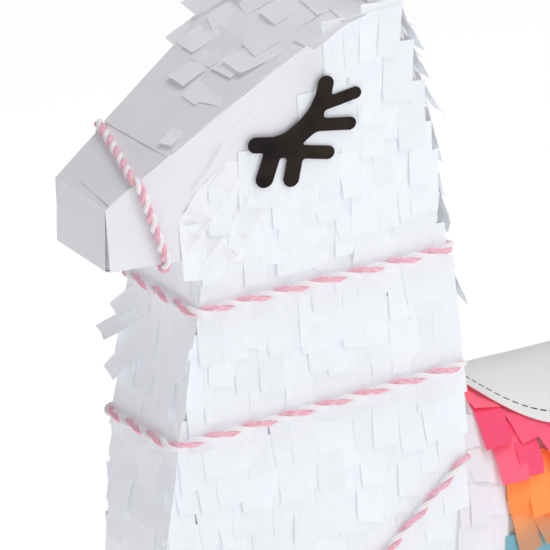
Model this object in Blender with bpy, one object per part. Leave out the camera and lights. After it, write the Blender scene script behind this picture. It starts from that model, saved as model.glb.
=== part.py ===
"""Llama pinata: a splayed card head and neck, a round-backed card barrel on four box legs,
rows of tissue fringe on every face, a twine bridle and neck wrap, and a fill flap in the back.

Lengths are millimetres until at() turns them into metres. X runs from the muzzle to the tail,
-Y is the llama's own left side, Z is up from the floor.
"""
from math import cos, hypot, pi, radians, sin, sqrt

import bmesh
import bpy
from mathutils import Vector

for old in list(bpy.data.objects):
    bpy.data.objects.remove(old)

MM = 0.001
LEFT, RIGHT = -1, 1
SIDES = {LEFT: "left", RIGHT: "right"}

# ---------------------------------------------------------------- driving dimensions
CARD = 3.0                 # thickness of the corrugated card
GAP = 0.3                  # air between pieces that are glued together
PAPER = 0.8                # smooth wrapping paper, with its folds
FRINGE_TOP = 1.0           # a tissue row's thickness along its glued edge
FRINGE_TIP = 2.6           # and at its loose tips
ROW_PITCH = 19.0           # from one tissue row to the next

LEG_LENGTH = 138.0
LEG_DEPTH = 52.0           # fore and aft
FRONT_LEG_X = 38.0         # front face of the front legs
REAR_LEG_INSET = 6.0       # rear legs to the rump
LEG_SPACE = 6.0            # between the two front legs
REAR_LEG_WIDTH = 37.0
FLOOR_CLEARANCE = 5.0      # tissue to the floor

MUZZLE_HALF_WIDTH = 22.0
NECK_INSET = 1.72          # back of the neck inside the barrel's side
MUZZLE_HEIGHT = 31.0
CHIN_HEIGHT = 229.0        # chin above the belly
CHIN_LENGTH = 47.0
HEAD_RISE = 110.0          # crown above the chin
FOREHEAD_X = 84.0
FOREHEAD_RISE = 87.0
CROWN_FRONT_X = 113.0
CROWN_DROP = 5.0           # the crown slopes down to the front by this much
CROWN_LENGTH = 31.0
NECK_DEPTH = 177.0         # muzzle tip to the back of the neck where it meets the barrel
WRAP_LENGTH = 66.0         # smooth paper along the bridge of the nose
CHEEK_HEIGHT = 36.0        # smooth paper below the nose line

BARREL_LENGTH = 163.0
BARREL_RADIUS = 48.5       # round back, and half the barrel's width
BARREL_DEPTH = 116.0       # belly to ridge
SHOULDER_LENGTH = 26.0     # white tissue between the neck and the saddle
SADDLE_LENGTH = 100.0
PINK_ROWS, ORANGE_ROWS = 3, 2
SADDLE_EXTRA = 1.6         # the saddle's tissue is thicker at its tips
ARCH_STEPS = 26            # facets of the round back

LABEL_X = 244.0            # centre of the fill label
LABEL_RADIUS = 39.5
LABEL_PAPER = 0.6
CUT_RADIUS = 35.0          # dashed cut line
CUT_GAP = 0.4
FLAP_CLEARANCE = 2.8       # card flap smaller than the label's cut, so that it can swing
FOLD_Y = 24.0              # the flap's fold, on the far side of the ridge

EAR_HEIGHT, EAR_WIDTH = 66.0, 28.0
EAR_X = 134.0
EAR_LEAN = 8.0             # degrees, outwards
EAR_CENTRE_Y = 25.0
TAIL_LENGTH, TAIL_WIDTH = 44.0, 20.0
TAIL_REACH = 27.0          # from the rump to the tail's tip
TAIL_DROP = 8.0            # tail root below the ridge

TWINE_RADIUS = 2.25
TWINE_GAP = 0.6            # between the twine and what it is wound on
DECAL = 0.5                # glossy card of the eyelashes
LASH_STROKE = 3.9          # half the width of the lid line
LASH_HALF_WIDTH = 3.2
LASH_STEP = 0.02           # each lash is this much thicker than the one before

FRINGE_INSET = 2.0         # first tissue row below the card's upper edge
THROAT_DROP = 6.0          # first row under the chin
HEAD_SEAM = 1.0            # between the rows of the forehead and the crown
CHEEK_BACK = 6.0           # cheek paper ends this far in front of the crown's corner
WRAP_BACK = 4.0            # muzzle paper ends this far in front of the throat
CUTTER_REACH = 10.0        # cutters run this far past what they cut
ROW_STEPS = 5              # facets of one tissue row round the back

# ---------------------------------------------------------------- derived places
# growth of the half-width for each mm towards the tail
SPLAY = (BARREL_RADIUS - NECK_INSET - MUZZLE_HALF_WIDTH) / NECK_DEPTH
BELLY_Z = LEG_LENGTH
RIDGE_Z = BELLY_Z + BARREL_DEPTH
ARCH_Z = RIDGE_Z - BARREL_RADIUS
CHIN_Z = BELLY_Z + CHIN_HEIGHT
CROWN_Z = CHIN_Z + HEAD_RISE
BARREL_X = NECK_DEPTH + GAP
RUMP_X = BARREL_X + BARREL_LENGTH
SADDLE_X = BARREL_X + SHOULDER_LENGTH
SADDLE_END_X = SADDLE_X + SADDLE_LENGTH
FRINGE = GAP + FRINGE_TIP
TAIL_END_X = RUMP_X + TAIL_REACH + FRINGE
MIDDLE_X = (TAIL_END_X - GAP - PAPER) / 2
TWINE_OFF = FRINGE + TWINE_GAP + TWINE_RADIUS
BRIDLE_OFF = GAP + PAPER + TWINE_GAP + TWINE_RADIUS

NECK_RISE = CROWN_Z - RIDGE_Z
NECK_BACK = [                       # from the crown down to the belly
    (CROWN_FRONT_X + CROWN_LENGTH, CROWN_Z),
    (NECK_DEPTH - 18.0, RIDGE_Z + 0.76 * NECK_RISE),
    (NECK_DEPTH - 12.0, RIDGE_Z + 0.53 * NECK_RISE),
    (NECK_DEPTH - 4.0, RIDGE_Z + 0.30 * NECK_RISE),
    (NECK_DEPTH, RIDGE_Z),
    (NECK_DEPTH, BELLY_Z),
]
NECK_FRONT = [                      # from the throat down to the chest's lower edge
    (CHIN_LENGTH, CHIN_Z),
    (CHIN_LENGTH - 3.0, BELLY_Z + 0.87 * CHIN_HEIGHT),
    (CHIN_LENGTH - 14.0, BELLY_Z + 0.57 * CHIN_HEIGHT),
    (CHIN_LENGTH - 19.0, BELLY_Z + 0.34 * CHIN_HEIGHT),
    (CHIN_LENGTH - 13.0, BELLY_Z),
]
NOSE = [(0.0, CHIN_Z + MUZZLE_HEIGHT), (FOREHEAD_X, CHIN_Z + FOREHEAD_RISE)]
CROWN = [NOSE[1], (CROWN_FRONT_X, CROWN_Z - CROWN_DROP), NECK_BACK[0]]
MUZZLE = [(0.0, CHIN_Z), NOSE[0]]
SIDE_OUTLINE = MUZZLE + CROWN + NECK_BACK[1:] + NECK_FRONT[::-1]


# ---------------------------------------------------------------- helpers
def at(x, y, z):
    """A point in metres, with the origin under the middle of the whole pinata."""
    return Vector((x - MIDDLE_X, y, z)) * MM


def half_width(x):
    """Outer face of the head and neck card, from the middle plane."""
    return MUZZLE_HALF_WIDTH + SPLAY * x


def nose_z(x):
    """Height of the nose line at x."""
    (x0, z0), (x1, z1) = NOSE
    return z0 + (z1 - z0) * (x - x0) / (x1 - x0)


def point_at(a, b, axis, value):
    """The point on the line through a and b whose coordinate on that axis has the value."""
    share = (value - a[axis]) / (b[axis] - a[axis])
    return a[0] + (b[0] - a[0]) * share, a[1] + (b[1] - a[1]) * share


def on_line(points, z):
    """x of a falling polyline at height z."""
    for (xa, za), (xb, zb) in zip(points, points[1:]):
        if zb <= z <= za:
            return xa + (xb - xa) * (za - z) / (za - zb)
    return points[-1][0]


def material(name, colour, roughness):
    made = bpy.data.materials.new(name)
    made.use_nodes = True
    shader = made.node_tree.nodes["Principled BSDF"]
    shader.inputs["Base Color"].default_value = (*colour, 1.0)
    shader.inputs["Roughness"].default_value = roughness
    shader.inputs["Metallic"].default_value = 0.0
    return made


CARD_WHITE = material("white_card", (0.80, 0.79, 0.77), 0.8)
WHITE_PAPER = material("white_paper", (0.86, 0.87, 0.90), 0.6)
WHITE_TISSUE = material("white_tissue", (0.88, 0.90, 0.94), 0.75)
PINK_TISSUE = material("pink_tissue", (0.93, 0.09, 0.22), 0.75)
ORANGE_TISSUE = material("orange_tissue", (0.95, 0.35, 0.08), 0.75)
BLUE_TISSUE = material("blue_tissue", (0.20, 0.48, 0.58), 0.75)
LABEL_WHITE = material("label_paper", (0.76, 0.76, 0.74), 0.45)
TWINE_PINK = material("pink_and_white_twine", (0.92, 0.42, 0.56), 0.85)
GLOSS_BLACK = material("black_gloss_card", (0.016, 0.013, 0.012), 0.25)


def finish(name, bm, look, parent=None):
    """Makes the named object; a parent empty's place is taken off its mesh."""
    bmesh.ops.recalc_face_normals(bm, faces=bm.faces)
    if parent:
        bmesh.ops.translate(bm, verts=bm.verts, vec=-parent.location)
    mesh = bpy.data.meshes.new(name)
    bm.to_mesh(mesh)
    bm.free()
    mesh.materials.append(look)
    made = bpy.data.objects.new(name, mesh)
    bpy.context.collection.objects.link(made)
    made.parent = parent
    return made


def extrude_faces(bm, faces, move):
    """Extrudes faces; move(vertex) gives each new vertex its place."""
    grown = bmesh.ops.extrude_face_region(bm, geom=faces)["geom"]
    for vert in [item for item in grown if isinstance(item, bmesh.types.BMVert)]:
        vert.co = move(vert.co)


def plate_bmesh(outline, near, far):
    """A prism on an outline of (x, z) points, between y = near(x) and y = far(x)."""
    bm = bmesh.new()
    face = bm.faces.new([bm.verts.new((x, near(x), z)) for x, z in outline])
    extrude_faces(bm, [face], lambda co: Vector((co.x, far(co.x), co.z)))
    for vert in bm.verts:
        vert.co = at(*vert.co)
    return bm


def plate(name, outline, near, far, look, parent=None):
    return finish(name, plate_bmesh(outline, near, far), look, parent)


def section(name, outline, x0, x1, look, parent=None):
    """A prism along X on an outline of (y, z) points."""
    bm = bmesh.new()
    face = bm.faces.new([bm.verts.new(at(x0, y, z)) for y, z in outline])
    extrude_faces(bm, [face], lambda co: co + Vector((x1 - x0, 0, 0)) * MM)
    return finish(name, bm, look, parent)


def normal(a, b):
    """Unit normal on the left of the step from a to b."""
    length = hypot(b[0] - a[0], b[1] - a[1])
    return (a[1] - b[1]) / length, (b[0] - a[0]) / length


def shifted(points, distance):
    """A polyline moved sideways, to the left of its direction, with mitred corners."""
    moved = []
    for i, (x, z) in enumerate(points):
        sides = []
        if i > 0:
            sides.append(normal(points[i - 1], points[i]))
        if i < len(points) - 1:
            sides.append(normal(points[i], points[i + 1]))
        nx, nz = sides[0][0] + sides[-1][0], sides[0][1] + sides[-1][1]
        scale = distance * 2 / (nx * nx + nz * nz)
        moved.append((x + nx * scale, z + nz * scale))
    return moved


def inner_half(x):
    """Room between the two side panels."""
    return half_width(x) - CARD - GAP


def strip(name, points, look=CARD_WHITE):
    """A scored card strip between the side panels; its outer face follows the points."""
    outline = points + shifted(points, -CARD)[::-1]
    plate(name, outline, lambda x: -inner_half(x), inner_half, look)


def saw_teeth(length, extra=0.0, pitch=ROW_PITCH):
    """Tissue rows along a length, as (distance, thickness) points of one stepped profile."""
    count = max(1, round(length / pitch))
    step = length / count
    teeth = []
    for i in range(count):
        teeth += [(i * step, FRINGE_TOP), ((i + 1) * step, FRINGE_TIP + extra)]
    return teeth


def strip_fringe(name, points, face):
    """Tissue rows on a strip; points run from root to tip, face is 1 to their left, or -1."""
    outline = shifted(points, face * GAP)[::-1]
    for a, b in zip(points, points[1:]):
        nx, nz = (face * part for part in normal(a, b))
        length = hypot(b[0] - a[0], b[1] - a[1])
        ux, uz = (b[0] - a[0]) / length, (b[1] - a[1]) / length
        outline += [(a[0] + ux * along + nx * (GAP + thick), a[1] + uz * along + nz * (GAP + thick))
                    for along, thick in saw_teeth(length)]
    return plate(name, outline, lambda x: -half_width(x), half_width, WHITE_TISSUE)


def level_rows(name, outline, place, look=WHITE_TISSUE):
    """Level tissue rows cut to an outline of (u, z); place(u, thickness, z) gives the point."""
    low_u, high_u = min(u for u, _ in outline) - 1.0, max(u for u, _ in outline) + 1.0
    top, bottom = max(z for _, z in outline), min(z for _, z in outline)
    teeth = [(0.0, 0.0)] + saw_teeth(top - bottom) + [(top - bottom, 0.0)]
    bm = bmesh.new()
    face = bm.faces.new([bm.verts.new((low_u, thick, top - along)) for along, thick in teeth])
    extrude_faces(bm, [face], lambda co: Vector((high_u, co.y, co.z)))
    for vert in bm.verts:
        vert.co = at(*place(*vert.co))
    rows = finish(name, bm, look)
    bm = bmesh.new()
    face = bm.faces.new([bm.verts.new((u, -1.0, z)) for u, z in outline])
    extrude_faces(bm, [face], lambda co: Vector((co.x, FRINGE_TIP + 1.0, co.z)))
    for vert in bm.verts:
        vert.co = at(*place(*vert.co))
    cut(rows, finish(f"{name}_outline", bm, look), "INTERSECT")
    return rows


def cut(target, cutter, operation="DIFFERENCE"):
    """Adds an exact Boolean and hides the cutter."""
    modifier = target.modifiers.new(operation.lower(), "BOOLEAN")
    modifier.operation = operation
    modifier.solver = "EXACT"
    modifier.object = cutter
    cutter.hide_render = True
    cutter.display_type = "WIRE"


# ---------------------------------------------------------------- head and neck
def build_neck_box():
    for side, word in SIDES.items():
        plate(f"neck_side_{word}", SIDE_OUTLINE, lambda x: side * half_width(x),
              lambda x: side * (half_width(x) - CARD), CARD_WHITE)
    inside = CARD + GAP
    muzzle_low = (0.0, CHIN_Z + inside)
    strip("muzzle_front", [muzzle_low, (0.0, NOSE[0][1] - inside)])
    slope = (NOSE[1][1] - NOSE[0][1]) / (NOSE[1][0] - NOSE[0][0])
    bridge_start = (GAP, NOSE[0][1] + slope * GAP)
    bridge_end = (FOREHEAD_X - GAP, NOSE[1][1] - slope * GAP)
    strip("nose_bridge", [bridge_start, bridge_end])
    strip("crown_panel", [(CROWN[0][0] + GAP, CROWN[0][1] + GAP / 2), CROWN[1],
                          (CROWN[2][0] - inside, CROWN[2][1] - GAP)])
    strip("neck_back", NECK_BACK[:-1] + [(NECK_DEPTH, BELLY_Z + inside)])
    throat = (NECK_FRONT[0][0], CHIN_Z - GAP)
    chest = (NECK_FRONT[-1][0], BELLY_Z + inside)
    strip("neck_front", ([throat] + NECK_FRONT[1:-1] + [chest])[::-1])
    chin = [(inside, CHIN_Z), (CHIN_LENGTH + CARD, CHIN_Z)]
    strip("chin_panel", chin[::-1])
    strip("chest_floor", [(NECK_DEPTH, BELLY_Z), (NECK_FRONT[-1][0], BELLY_Z)])


def build_face():
    """Smooth paper on the muzzle and cheeks, and the eyelash decals."""
    skin = GAP + PAPER
    slope = (NOSE[1][1] - NOSE[0][1]) / (NOSE[1][0] - NOSE[0][0])
    lift = sqrt(1 + slope * slope)
    rear_low = (CHIN_LENGTH - WRAP_BACK, CHIN_Z - skin)
    rear_mid = (WRAP_LENGTH, nose_z(WRAP_LENGTH) - CHEEK_HEIGHT)
    outer = [(-skin, CHIN_Z - skin), (-skin, nose_z(-skin) + skin * lift),
             (WRAP_LENGTH, nose_z(WRAP_LENGTH) + skin * lift), rear_mid, rear_low]
    wrap = plate("muzzle_wrap", outer, lambda x: -half_width(x) - skin,
                 lambda x: half_width(x) + skin, WHITE_PAPER)
    past = WRAP_LENGTH + CUTTER_REACH
    core = plate("muzzle_core", [(-GAP, CHIN_Z - GAP), (-GAP, nose_z(-GAP) + GAP * lift),
                                 (past, nose_z(past) + GAP * lift), (past, CHIN_Z - GAP)],
                 lambda x: -half_width(x) - GAP, lambda x: half_width(x) + GAP, WHITE_PAPER)
    cut(wrap, core)
    cheek_end = CROWN_FRONT_X - CHEEK_BACK
    start = WRAP_LENGTH + GAP
    cheek = [(start, nose_z(start)), (FOREHEAD_X, NOSE[1][1]),
             (cheek_end, on_crown(cheek_end)), (cheek_end, on_crown(cheek_end) - CHEEK_HEIGHT / 2),
             (start, nose_z(start) - CHEEK_HEIGHT)]
    for side, word in SIDES.items():
        plate(f"cheek_paper_{word}", cheek, lambda x: side * (half_width(x) + GAP),
              lambda x: side * (half_width(x) + skin), WHITE_PAPER)
        build_lashes(side, word)


def on_crown(x):
    """Height of the crown's front slope at x."""
    (x0, z0), (x1, z1) = CROWN[:2]
    return z0 + (z1 - z0) * (x - x0) / (x1 - x0)


# eyelashes: lid line and five lashes, as (x, height above the chin)
LID = [(72.8, 50.5), (82.5, 50.0), (92.5, 52.5), (101.5, 59.0), (108.5, 67.0), (111.0, 75.5)]
LASHES = [((111.5, 69.0), (128.5, 68.5)), ((107.0, 62.0), (126.5, 53.5)),
          ((99.5, 52.0), (115.0, 40.0)), ((92.0, 50.5), (93.5, 28.5)),
          ((80.5, 49.5), (78.5, 30.5))]


def stroke_outline(points, radius, cap_steps=4):
    """Outline of a round-ended stroke along a polyline."""
    one_side = shifted(points, radius)
    other_side = shifted(points, -radius)[::-1]
    outline = []
    for run, centre in ((one_side, points[-1]), (other_side, points[0])):
        outline += run
        dx, dz = run[-1][0] - centre[0], run[-1][1] - centre[1]
        for i in range(1, cap_steps):
            turn = -pi * i / cap_steps
            outline.append((centre[0] + dx * cos(turn) - dz * sin(turn),
                            centre[1] + dx * sin(turn) + dz * cos(turn)))
    return outline


def build_lashes(side, word):
    """The decal lies on the loose edge of the tissue, over the cheek paper."""
    def stroke(name, points, radius, proud):
        raised = [(x, CHIN_Z + height) for x, height in points]
        back = FRINGE + GAP - proud
        front = FRINGE + GAP + DECAL + proud
        return plate(name, stroke_outline(raised, radius),
                     lambda x: side * (half_width(x) + back),
                     lambda x: side * (half_width(x) + front), GLOSS_BLACK)

    decal = stroke(f"lash_decal_{word}", LID, LASH_STROKE, 0.0)
    for number, lash in enumerate(LASHES, start=1):
        cut(decal, stroke(f"lash_{number}_{word}", lash, LASH_HALF_WIDTH, number * LASH_STEP),
            "UNION")


def build_ears():
    tilt = radians(EAR_LEAN)
    base_z = CROWN_Z + GAP
    leaf = [(sin(pi * share) ** 0.8 * (1 - 0.45 * share), share)
            for share in (0.12, 0.3, 0.5, 0.7, 0.85, 0.95)]
    halves = [(EAR_WIDTH / 2 * wide, EAR_HEIGHT * share) for wide, share in leaf]
    outline = [(EAR_WIDTH / 3, 0.0)] + halves + [(0.0, EAR_HEIGHT)]
    outline += [(-y, z) for y, z in halves[::-1]] + [(-EAR_WIDTH / 3, 0.0)]
    root = EAR_WIDTH / 3 * sin(tilt)
    for side, word in SIDES.items():
        def leaning(y, z):
            turned_y = y * cos(tilt) + z * sin(tilt)
            turned_z = z * cos(tilt) - y * sin(tilt)
            return side * (EAR_CENTRE_Y + turned_y), base_z + root + turned_z

        shape = [leaning(y, z) for y, z in outline]
        section(f"ear_{word}", shape, EAR_X, EAR_X + CARD, CARD_WHITE)
        back = EAR_X + CARD + GAP
        level_rows(f"ear_fringe_{word}", shape, lambda y, thick, z: (back + thick, y, z))


def build_neck_fringe():
    cheek_low = (WRAP_LENGTH + GAP, nose_z(WRAP_LENGTH + GAP) - CHEEK_HEIGHT - GAP)
    cheek_end = CROWN_FRONT_X - CHEEK_BACK
    region = [(NECK_FRONT[1][0], CHIN_Z - FRINGE_INSET), cheek_low,
              (cheek_end + GAP, on_crown(cheek_end) - CHEEK_HEIGHT / 2 - GAP),
              (cheek_end + GAP, on_crown(cheek_end)), CROWN[1]]
    region += NECK_BACK + NECK_FRONT[:0:-1]
    for side, word in SIDES.items():
        level_rows(f"neck_fringe_{word}", region,
                   lambda x, thick, z: (x, side * (half_width(x) + GAP + thick), z))
    throat_z = CHIN_Z - THROAT_DROP
    below_chin = (on_line(NECK_FRONT, throat_z), throat_z)
    strip_fringe("neck_front_fringe", [below_chin] + NECK_FRONT[1:], -1)
    nape_z = CROWN_Z - FRINGE_INSET
    nape = (on_line(NECK_BACK, nape_z), nape_z)
    above_ridge = RIDGE_Z + ROW_PITCH / 2
    foot = (on_line(NECK_BACK, above_ridge), above_ridge)
    strip_fringe("neck_back_fringe", [nape] + NECK_BACK[1:4] + [foot], 1)
    brow, wrap_end = FOREHEAD_X - HEAD_SEAM, WRAP_LENGTH + 2 * GAP
    strip_fringe("forehead_fringe", [(brow, nose_z(brow)), (wrap_end, nose_z(wrap_end))], -1)
    front, behind = CROWN_FRONT_X - HEAD_SEAM / 2, FOREHEAD_X + 2 * HEAD_SEAM
    strip_fringe("crown_fringe", [(front, on_crown(front)), (behind, on_crown(behind))], -1)


# ---------------------------------------------------------------- barrel
def arch_points(offset, start, end, steps):
    """(y, z) points around the round back, by distance along the card from the ridge."""
    points = []
    for i in range(steps + 1):
        along = start + (end - start) * i / steps
        angle = min(along / BARREL_RADIUS, pi / 2)
        drop = along - BARREL_RADIUS * angle
        radius = BARREL_RADIUS + offset(along)
        points.append((radius * sin(angle), ARCH_Z + radius * cos(angle) - drop))
    return points


ARCH_LENGTH = BARREL_RADIUS * pi / 2
SIDE_LENGTH = ARCH_LENGTH + ARCH_Z - BELLY_Z


def full_arch(offset):
    half = arch_points(lambda along: offset, 0.0, ARCH_LENGTH, ARCH_STEPS // 2)
    return [(-y, z) for y, z in half[:0:-1]] + half


def d_shape(radius, fold_y, low_z, high_z, name):
    """Upright cutter with the flap's outline: a circle with a straight fold on its far side."""
    bm = bmesh.new()
    steps = 40
    ring = [(radius * cos(2 * pi * i / steps), radius * sin(2 * pi * i / steps))
            for i in range(steps)]
    end = sqrt(radius * radius - fold_y * fold_y)
    split = next(i for i, point in enumerate(ring) if point[1] >= fold_y)
    kept = ring[:split] + [(end, fold_y), (-end, fold_y)] + \
        [point for point in ring[split:] if point[1] < fold_y]
    face = bm.faces.new([bm.verts.new(at(LABEL_X + x, y, low_z)) for x, y in kept])
    extrude_faces(bm, [face], lambda co: Vector((co.x, co.y, high_z * MM)))
    return finish(name, bm, LABEL_WHITE)


def build_barrel():
    inner = BARREL_RADIUS - CARD
    arch = full_arch(0.0) + full_arch(-CARD)[::-1]
    back = section("back_panel", arch, BARREL_X, RUMP_X, CARD_WHITE)
    low, high = BELLY_Z + CARD + GAP, ARCH_Z - GAP
    for side, word in SIDES.items():
        wall = [(side * BARREL_RADIUS, high), (side * inner, high), (side * inner, low),
                (side * BARREL_RADIUS, low)]
        section(f"barrel_side_{word}", wall, BARREL_X, RUMP_X, CARD_WHITE)
    belly = [(-BARREL_RADIUS, BELLY_Z), (BARREL_RADIUS, BELLY_Z),
             (BARREL_RADIUS, BELLY_Z + CARD), (-BARREL_RADIUS, BELLY_Z + CARD)]
    section("belly_panel", belly, BARREL_X, RUMP_X, CARD_WHITE)
    rim = inner - GAP
    rump = [(y * rim / inner, ARCH_Z + (z - ARCH_Z) * rim / inner)
            for y, z in full_arch(-CARD)]
    rump += [(rim, low + GAP), (-rim, low + GAP)]
    section("rump_panel", rump, RUMP_X - CARD, RUMP_X, CARD_WHITE)
    return back


def barrel_fringe(name, side, x0, x1, rows, first, look, extra=0.0):
    """Tissue rows that run along the barrel; first is the number of the top one."""
    total = max(1, round(SIDE_LENGTH / ROW_PITCH))
    pitch = SIDE_LENGTH / total
    last = min(first + rows, total)
    start, end = first * pitch + GAP / 2, last * pitch - GAP / 2
    outline = arch_points(lambda along: GAP, start, end, ROW_STEPS * (last - first))[::-1]
    for number in range(first, last):
        top, tip = max(start, number * pitch), min(end, (number + 1) * pitch)

        def thick(along):
            share = (along - top) / (tip - top)
            return GAP + FRINGE_TOP + (FRINGE_TIP + extra - FRINGE_TOP) * share

        outline += arch_points(thick, top, tip, ROW_STEPS)
    return section(name, [(side * y, z) for y, z in outline], x0, x1, look)


def build_barrel_fringe(flap_cut):
    total = max(1, round(SIDE_LENGTH / ROW_PITCH))
    bands = (("pink", 0, PINK_ROWS, PINK_TISSUE),
             ("orange", PINK_ROWS, ORANGE_ROWS, ORANGE_TISSUE),
             ("blue", PINK_ROWS + ORANGE_ROWS, total, BLUE_TISSUE))
    for side, word in SIDES.items():
        barrel_fringe(f"shoulder_fringe_{word}", side, BARREL_X + GAP, SADDLE_X - GAP / 2,
                      total, 0, WHITE_TISSUE)
        barrel_fringe(f"rump_side_fringe_{word}", side, SADDLE_END_X + GAP / 2, RUMP_X,
                      total, 0, WHITE_TISSUE)
        for colour, first, rows, look in bands:
            band = barrel_fringe(f"saddle_{colour}_{word}", side, SADDLE_X + GAP / 2,
                                 SADDLE_END_X - GAP / 2, rows, first, look, SADDLE_EXTRA)
            if colour == "pink":
                cut(band, flap_cut)
    build_rump_fringe()


def build_rump_fringe():
    """Rows across the rear face, following the end of the barrel."""
    outline = full_arch(0.0) + [(BARREL_RADIUS, BELLY_Z), (-BARREL_RADIUS, BELLY_Z)]
    back = RUMP_X + GAP
    root_low = RIDGE_Z - TAIL_DROP - TAIL_WIDTH - 2 * FRINGE
    rump = level_rows("rump_fringe", outline, lambda y, thick, z: (back + thick, y, z))
    reach = TAIL_WIDTH / 2 + FRINGE + GAP
    tail_room = section("tail_room", [(-reach, root_low), (reach, root_low),
                                      (reach, RIDGE_Z + TAIL_WIDTH),
                                      (-reach, RIDGE_Z + TAIL_WIDTH)],
                        RUMP_X, RUMP_X + TAIL_REACH, WHITE_TISSUE)
    cut(rump, tail_room)


def build_tail():
    """A short card tab that stands off the rump, with tissue all round it."""
    root_z = RIDGE_Z - TAIL_DROP
    x0 = RUMP_X + GAP
    tip = (RUMP_X + TAIL_REACH, root_z - TAIL_LENGTH)
    upper = [(x0, root_z), (x0 + 0.55 * TAIL_REACH, root_z - 0.25 * TAIL_LENGTH), tip]
    lower = [(tip[0] - 2 * CARD, tip[1]), (x0 + 0.3 * TAIL_REACH, root_z - 0.42 * TAIL_LENGTH),
             (x0, root_z - TAIL_WIDTH + CARD)]
    outline = upper + lower
    plate("tail_tab", outline, lambda x: -TAIL_WIDTH / 2, lambda x: TAIL_WIDTH / 2, CARD_WHITE)

    def sleeve(name, off, root_x, tip_z):
        """The tab's outline grown by off, from root_x down to tip_z."""
        above, below = shifted(upper, off), shifted(lower, off)
        shape = [point_at(*above[:2], 0, root_x), above[1], point_at(*above[1:], 1, tip_z),
                 point_at(*below[:2], 1, tip_z), below[1], point_at(*below[1:], 0, root_x)]
        wide = TAIL_WIDTH / 2 + off
        return plate(name, shape, lambda x: -wide, lambda x: wide, WHITE_TISSUE)

    fringe = sleeve("tail_fringe", FRINGE, x0 + GAP, tip[1] + GAP)
    core = sleeve("tail_core", GAP, x0 - CARD, tip[1] - CARD)
    cut(fringe, core)


# ---------------------------------------------------------------- fill flap and label
def build_fill(back):
    """The flap, its tissue and the middle of the label turn on a fold along X."""
    tissue_high = GAP + FRINGE_TIP + SADDLE_EXTRA
    label_low = tissue_high + GAP
    label_high = label_low + LABEL_PAPER
    reach = LABEL_RADIUS + CUTTER_REACH
    fold_z = ARCH_Z + sqrt((BARREL_RADIUS + label_high) ** 2 - FOLD_Y ** 2)
    hinge = bpy.data.objects.new("fill_hinge", None)
    bpy.context.collection.objects.link(hinge)
    hinge.location = at(LABEL_X, FOLD_Y, fold_z)

    low_z, high_z = ARCH_Z, RIDGE_Z + CUTTER_REACH
    opening = d_shape(CUT_RADIUS, FOLD_Y, low_z, high_z, "fill_opening")
    cut(back, opening)

    sheets = (("fill_flap", -CARD, 0.0, CARD_WHITE, FLAP_CLEARANCE),
              ("flap_tissue", GAP, tissue_high, PINK_TISSUE, FLAP_CLEARANCE),
              ("label_flap", label_low, label_high, LABEL_WHITE, CUT_GAP))
    for name, low, high, look, clearance in sheets:
        arch = full_arch(high) + full_arch(low)[::-1]
        sheet = section(name, arch, LABEL_X - reach, LABEL_X + reach, look, hinge)
        shape = d_shape(CUT_RADIUS - clearance, FOLD_Y - CUT_GAP, low_z, high_z, f"{name}_edge")
        cut(sheet, shape, "INTERSECT")

    rim_arch = full_arch(label_high) + full_arch(label_low)[::-1]
    rim = section("label_rim", rim_arch, LABEL_X - reach, LABEL_X + reach, LABEL_WHITE)
    bm = bmesh.new()
    bmesh.ops.create_cone(bm, cap_ends=True, segments=48, radius1=LABEL_RADIUS * MM,
                          radius2=LABEL_RADIUS * MM, depth=(high_z - low_z) * MM)
    bmesh.ops.translate(bm, verts=bm.verts, vec=at(LABEL_X, 0.0, (low_z + high_z) / 2))
    disc = finish("label_edge", bm, LABEL_WHITE)
    cut(rim, disc, "INTERSECT")
    cut(rim, opening)
    return opening


# ---------------------------------------------------------------- legs
def box_tube(name, plan, z0, z1, wall, look):
    """A folded tube on a four-sided plan of (x, y) points, open at both ends."""
    inner = shifted_ring(plan, -wall)
    bm = bmesh.new()
    rings = []
    for points in (plan, inner):
        rings.append([[bm.verts.new(at(x, y, z)) for x, y in points] for z in (z0, z1)])
    count = len(plan)
    for i in range(count):
        j = (i + 1) % count
        for low, high in rings:
            bm.faces.new((low[i], low[j], high[j], high[i]))
        for level in (0, 1):
            bm.faces.new((rings[0][level][i], rings[0][level][j], rings[1][level][j],
                          rings[1][level][i]))
    return finish(name, bm, look)


def shifted_ring(points, distance):
    """A closed outline grown, or shrunk when distance is negative; points run clockwise."""
    count = len(points)
    moved = []
    for i, (x, y) in enumerate(points):
        a = normal(points[i - 1], points[i])
        b = normal(points[i], points[(i + 1) % count])
        nx, ny = a[0] + b[0], a[1] + b[1]
        scale = distance * 2 / (nx * nx + ny * ny)
        moved.append((x + nx * scale, y + ny * scale))
    return moved


def build_legs():
    rear_x1 = RUMP_X - REAR_LEG_INSET
    rear_x0 = rear_x1 - LEG_DEPTH
    front_x1 = FRONT_LEG_X + LEG_DEPTH
    for side, word in SIDES.items():
        outer = side * BARREL_RADIUS
        inner = side * (BARREL_RADIUS - REAR_LEG_WIDTH)
        plans = {
            "front": [(FRONT_LEG_X, side * LEG_SPACE / 2),
                      (FRONT_LEG_X, side * half_width(FRONT_LEG_X)),
                      (front_x1, side * half_width(front_x1)), (front_x1, side * LEG_SPACE / 2)],
            "rear": [(rear_x0, inner), (rear_x0, outer), (rear_x1, outer), (rear_x1, inner)],
        }
        for end, plan in plans.items():
            ring = plan if side == RIGHT else plan[::-1]
            box_tube(f"leg_{end}_{word}", ring, CARD + GAP, BELLY_Z - GAP, CARD, CARD_WHITE)
            bm = bmesh.new()
            face = bm.faces.new([bm.verts.new(at(x, y, 0.0)) for x, y in ring])
            extrude_faces(bm, [face], lambda co: Vector((co.x, co.y, CARD * MM)))
            finish(f"sole_{end}_{word}", bm, CARD_WHITE)
            fringe_tube(f"leg_fringe_{end}_{word}", ring, FLOOR_CLEARANCE + CARD)


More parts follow.
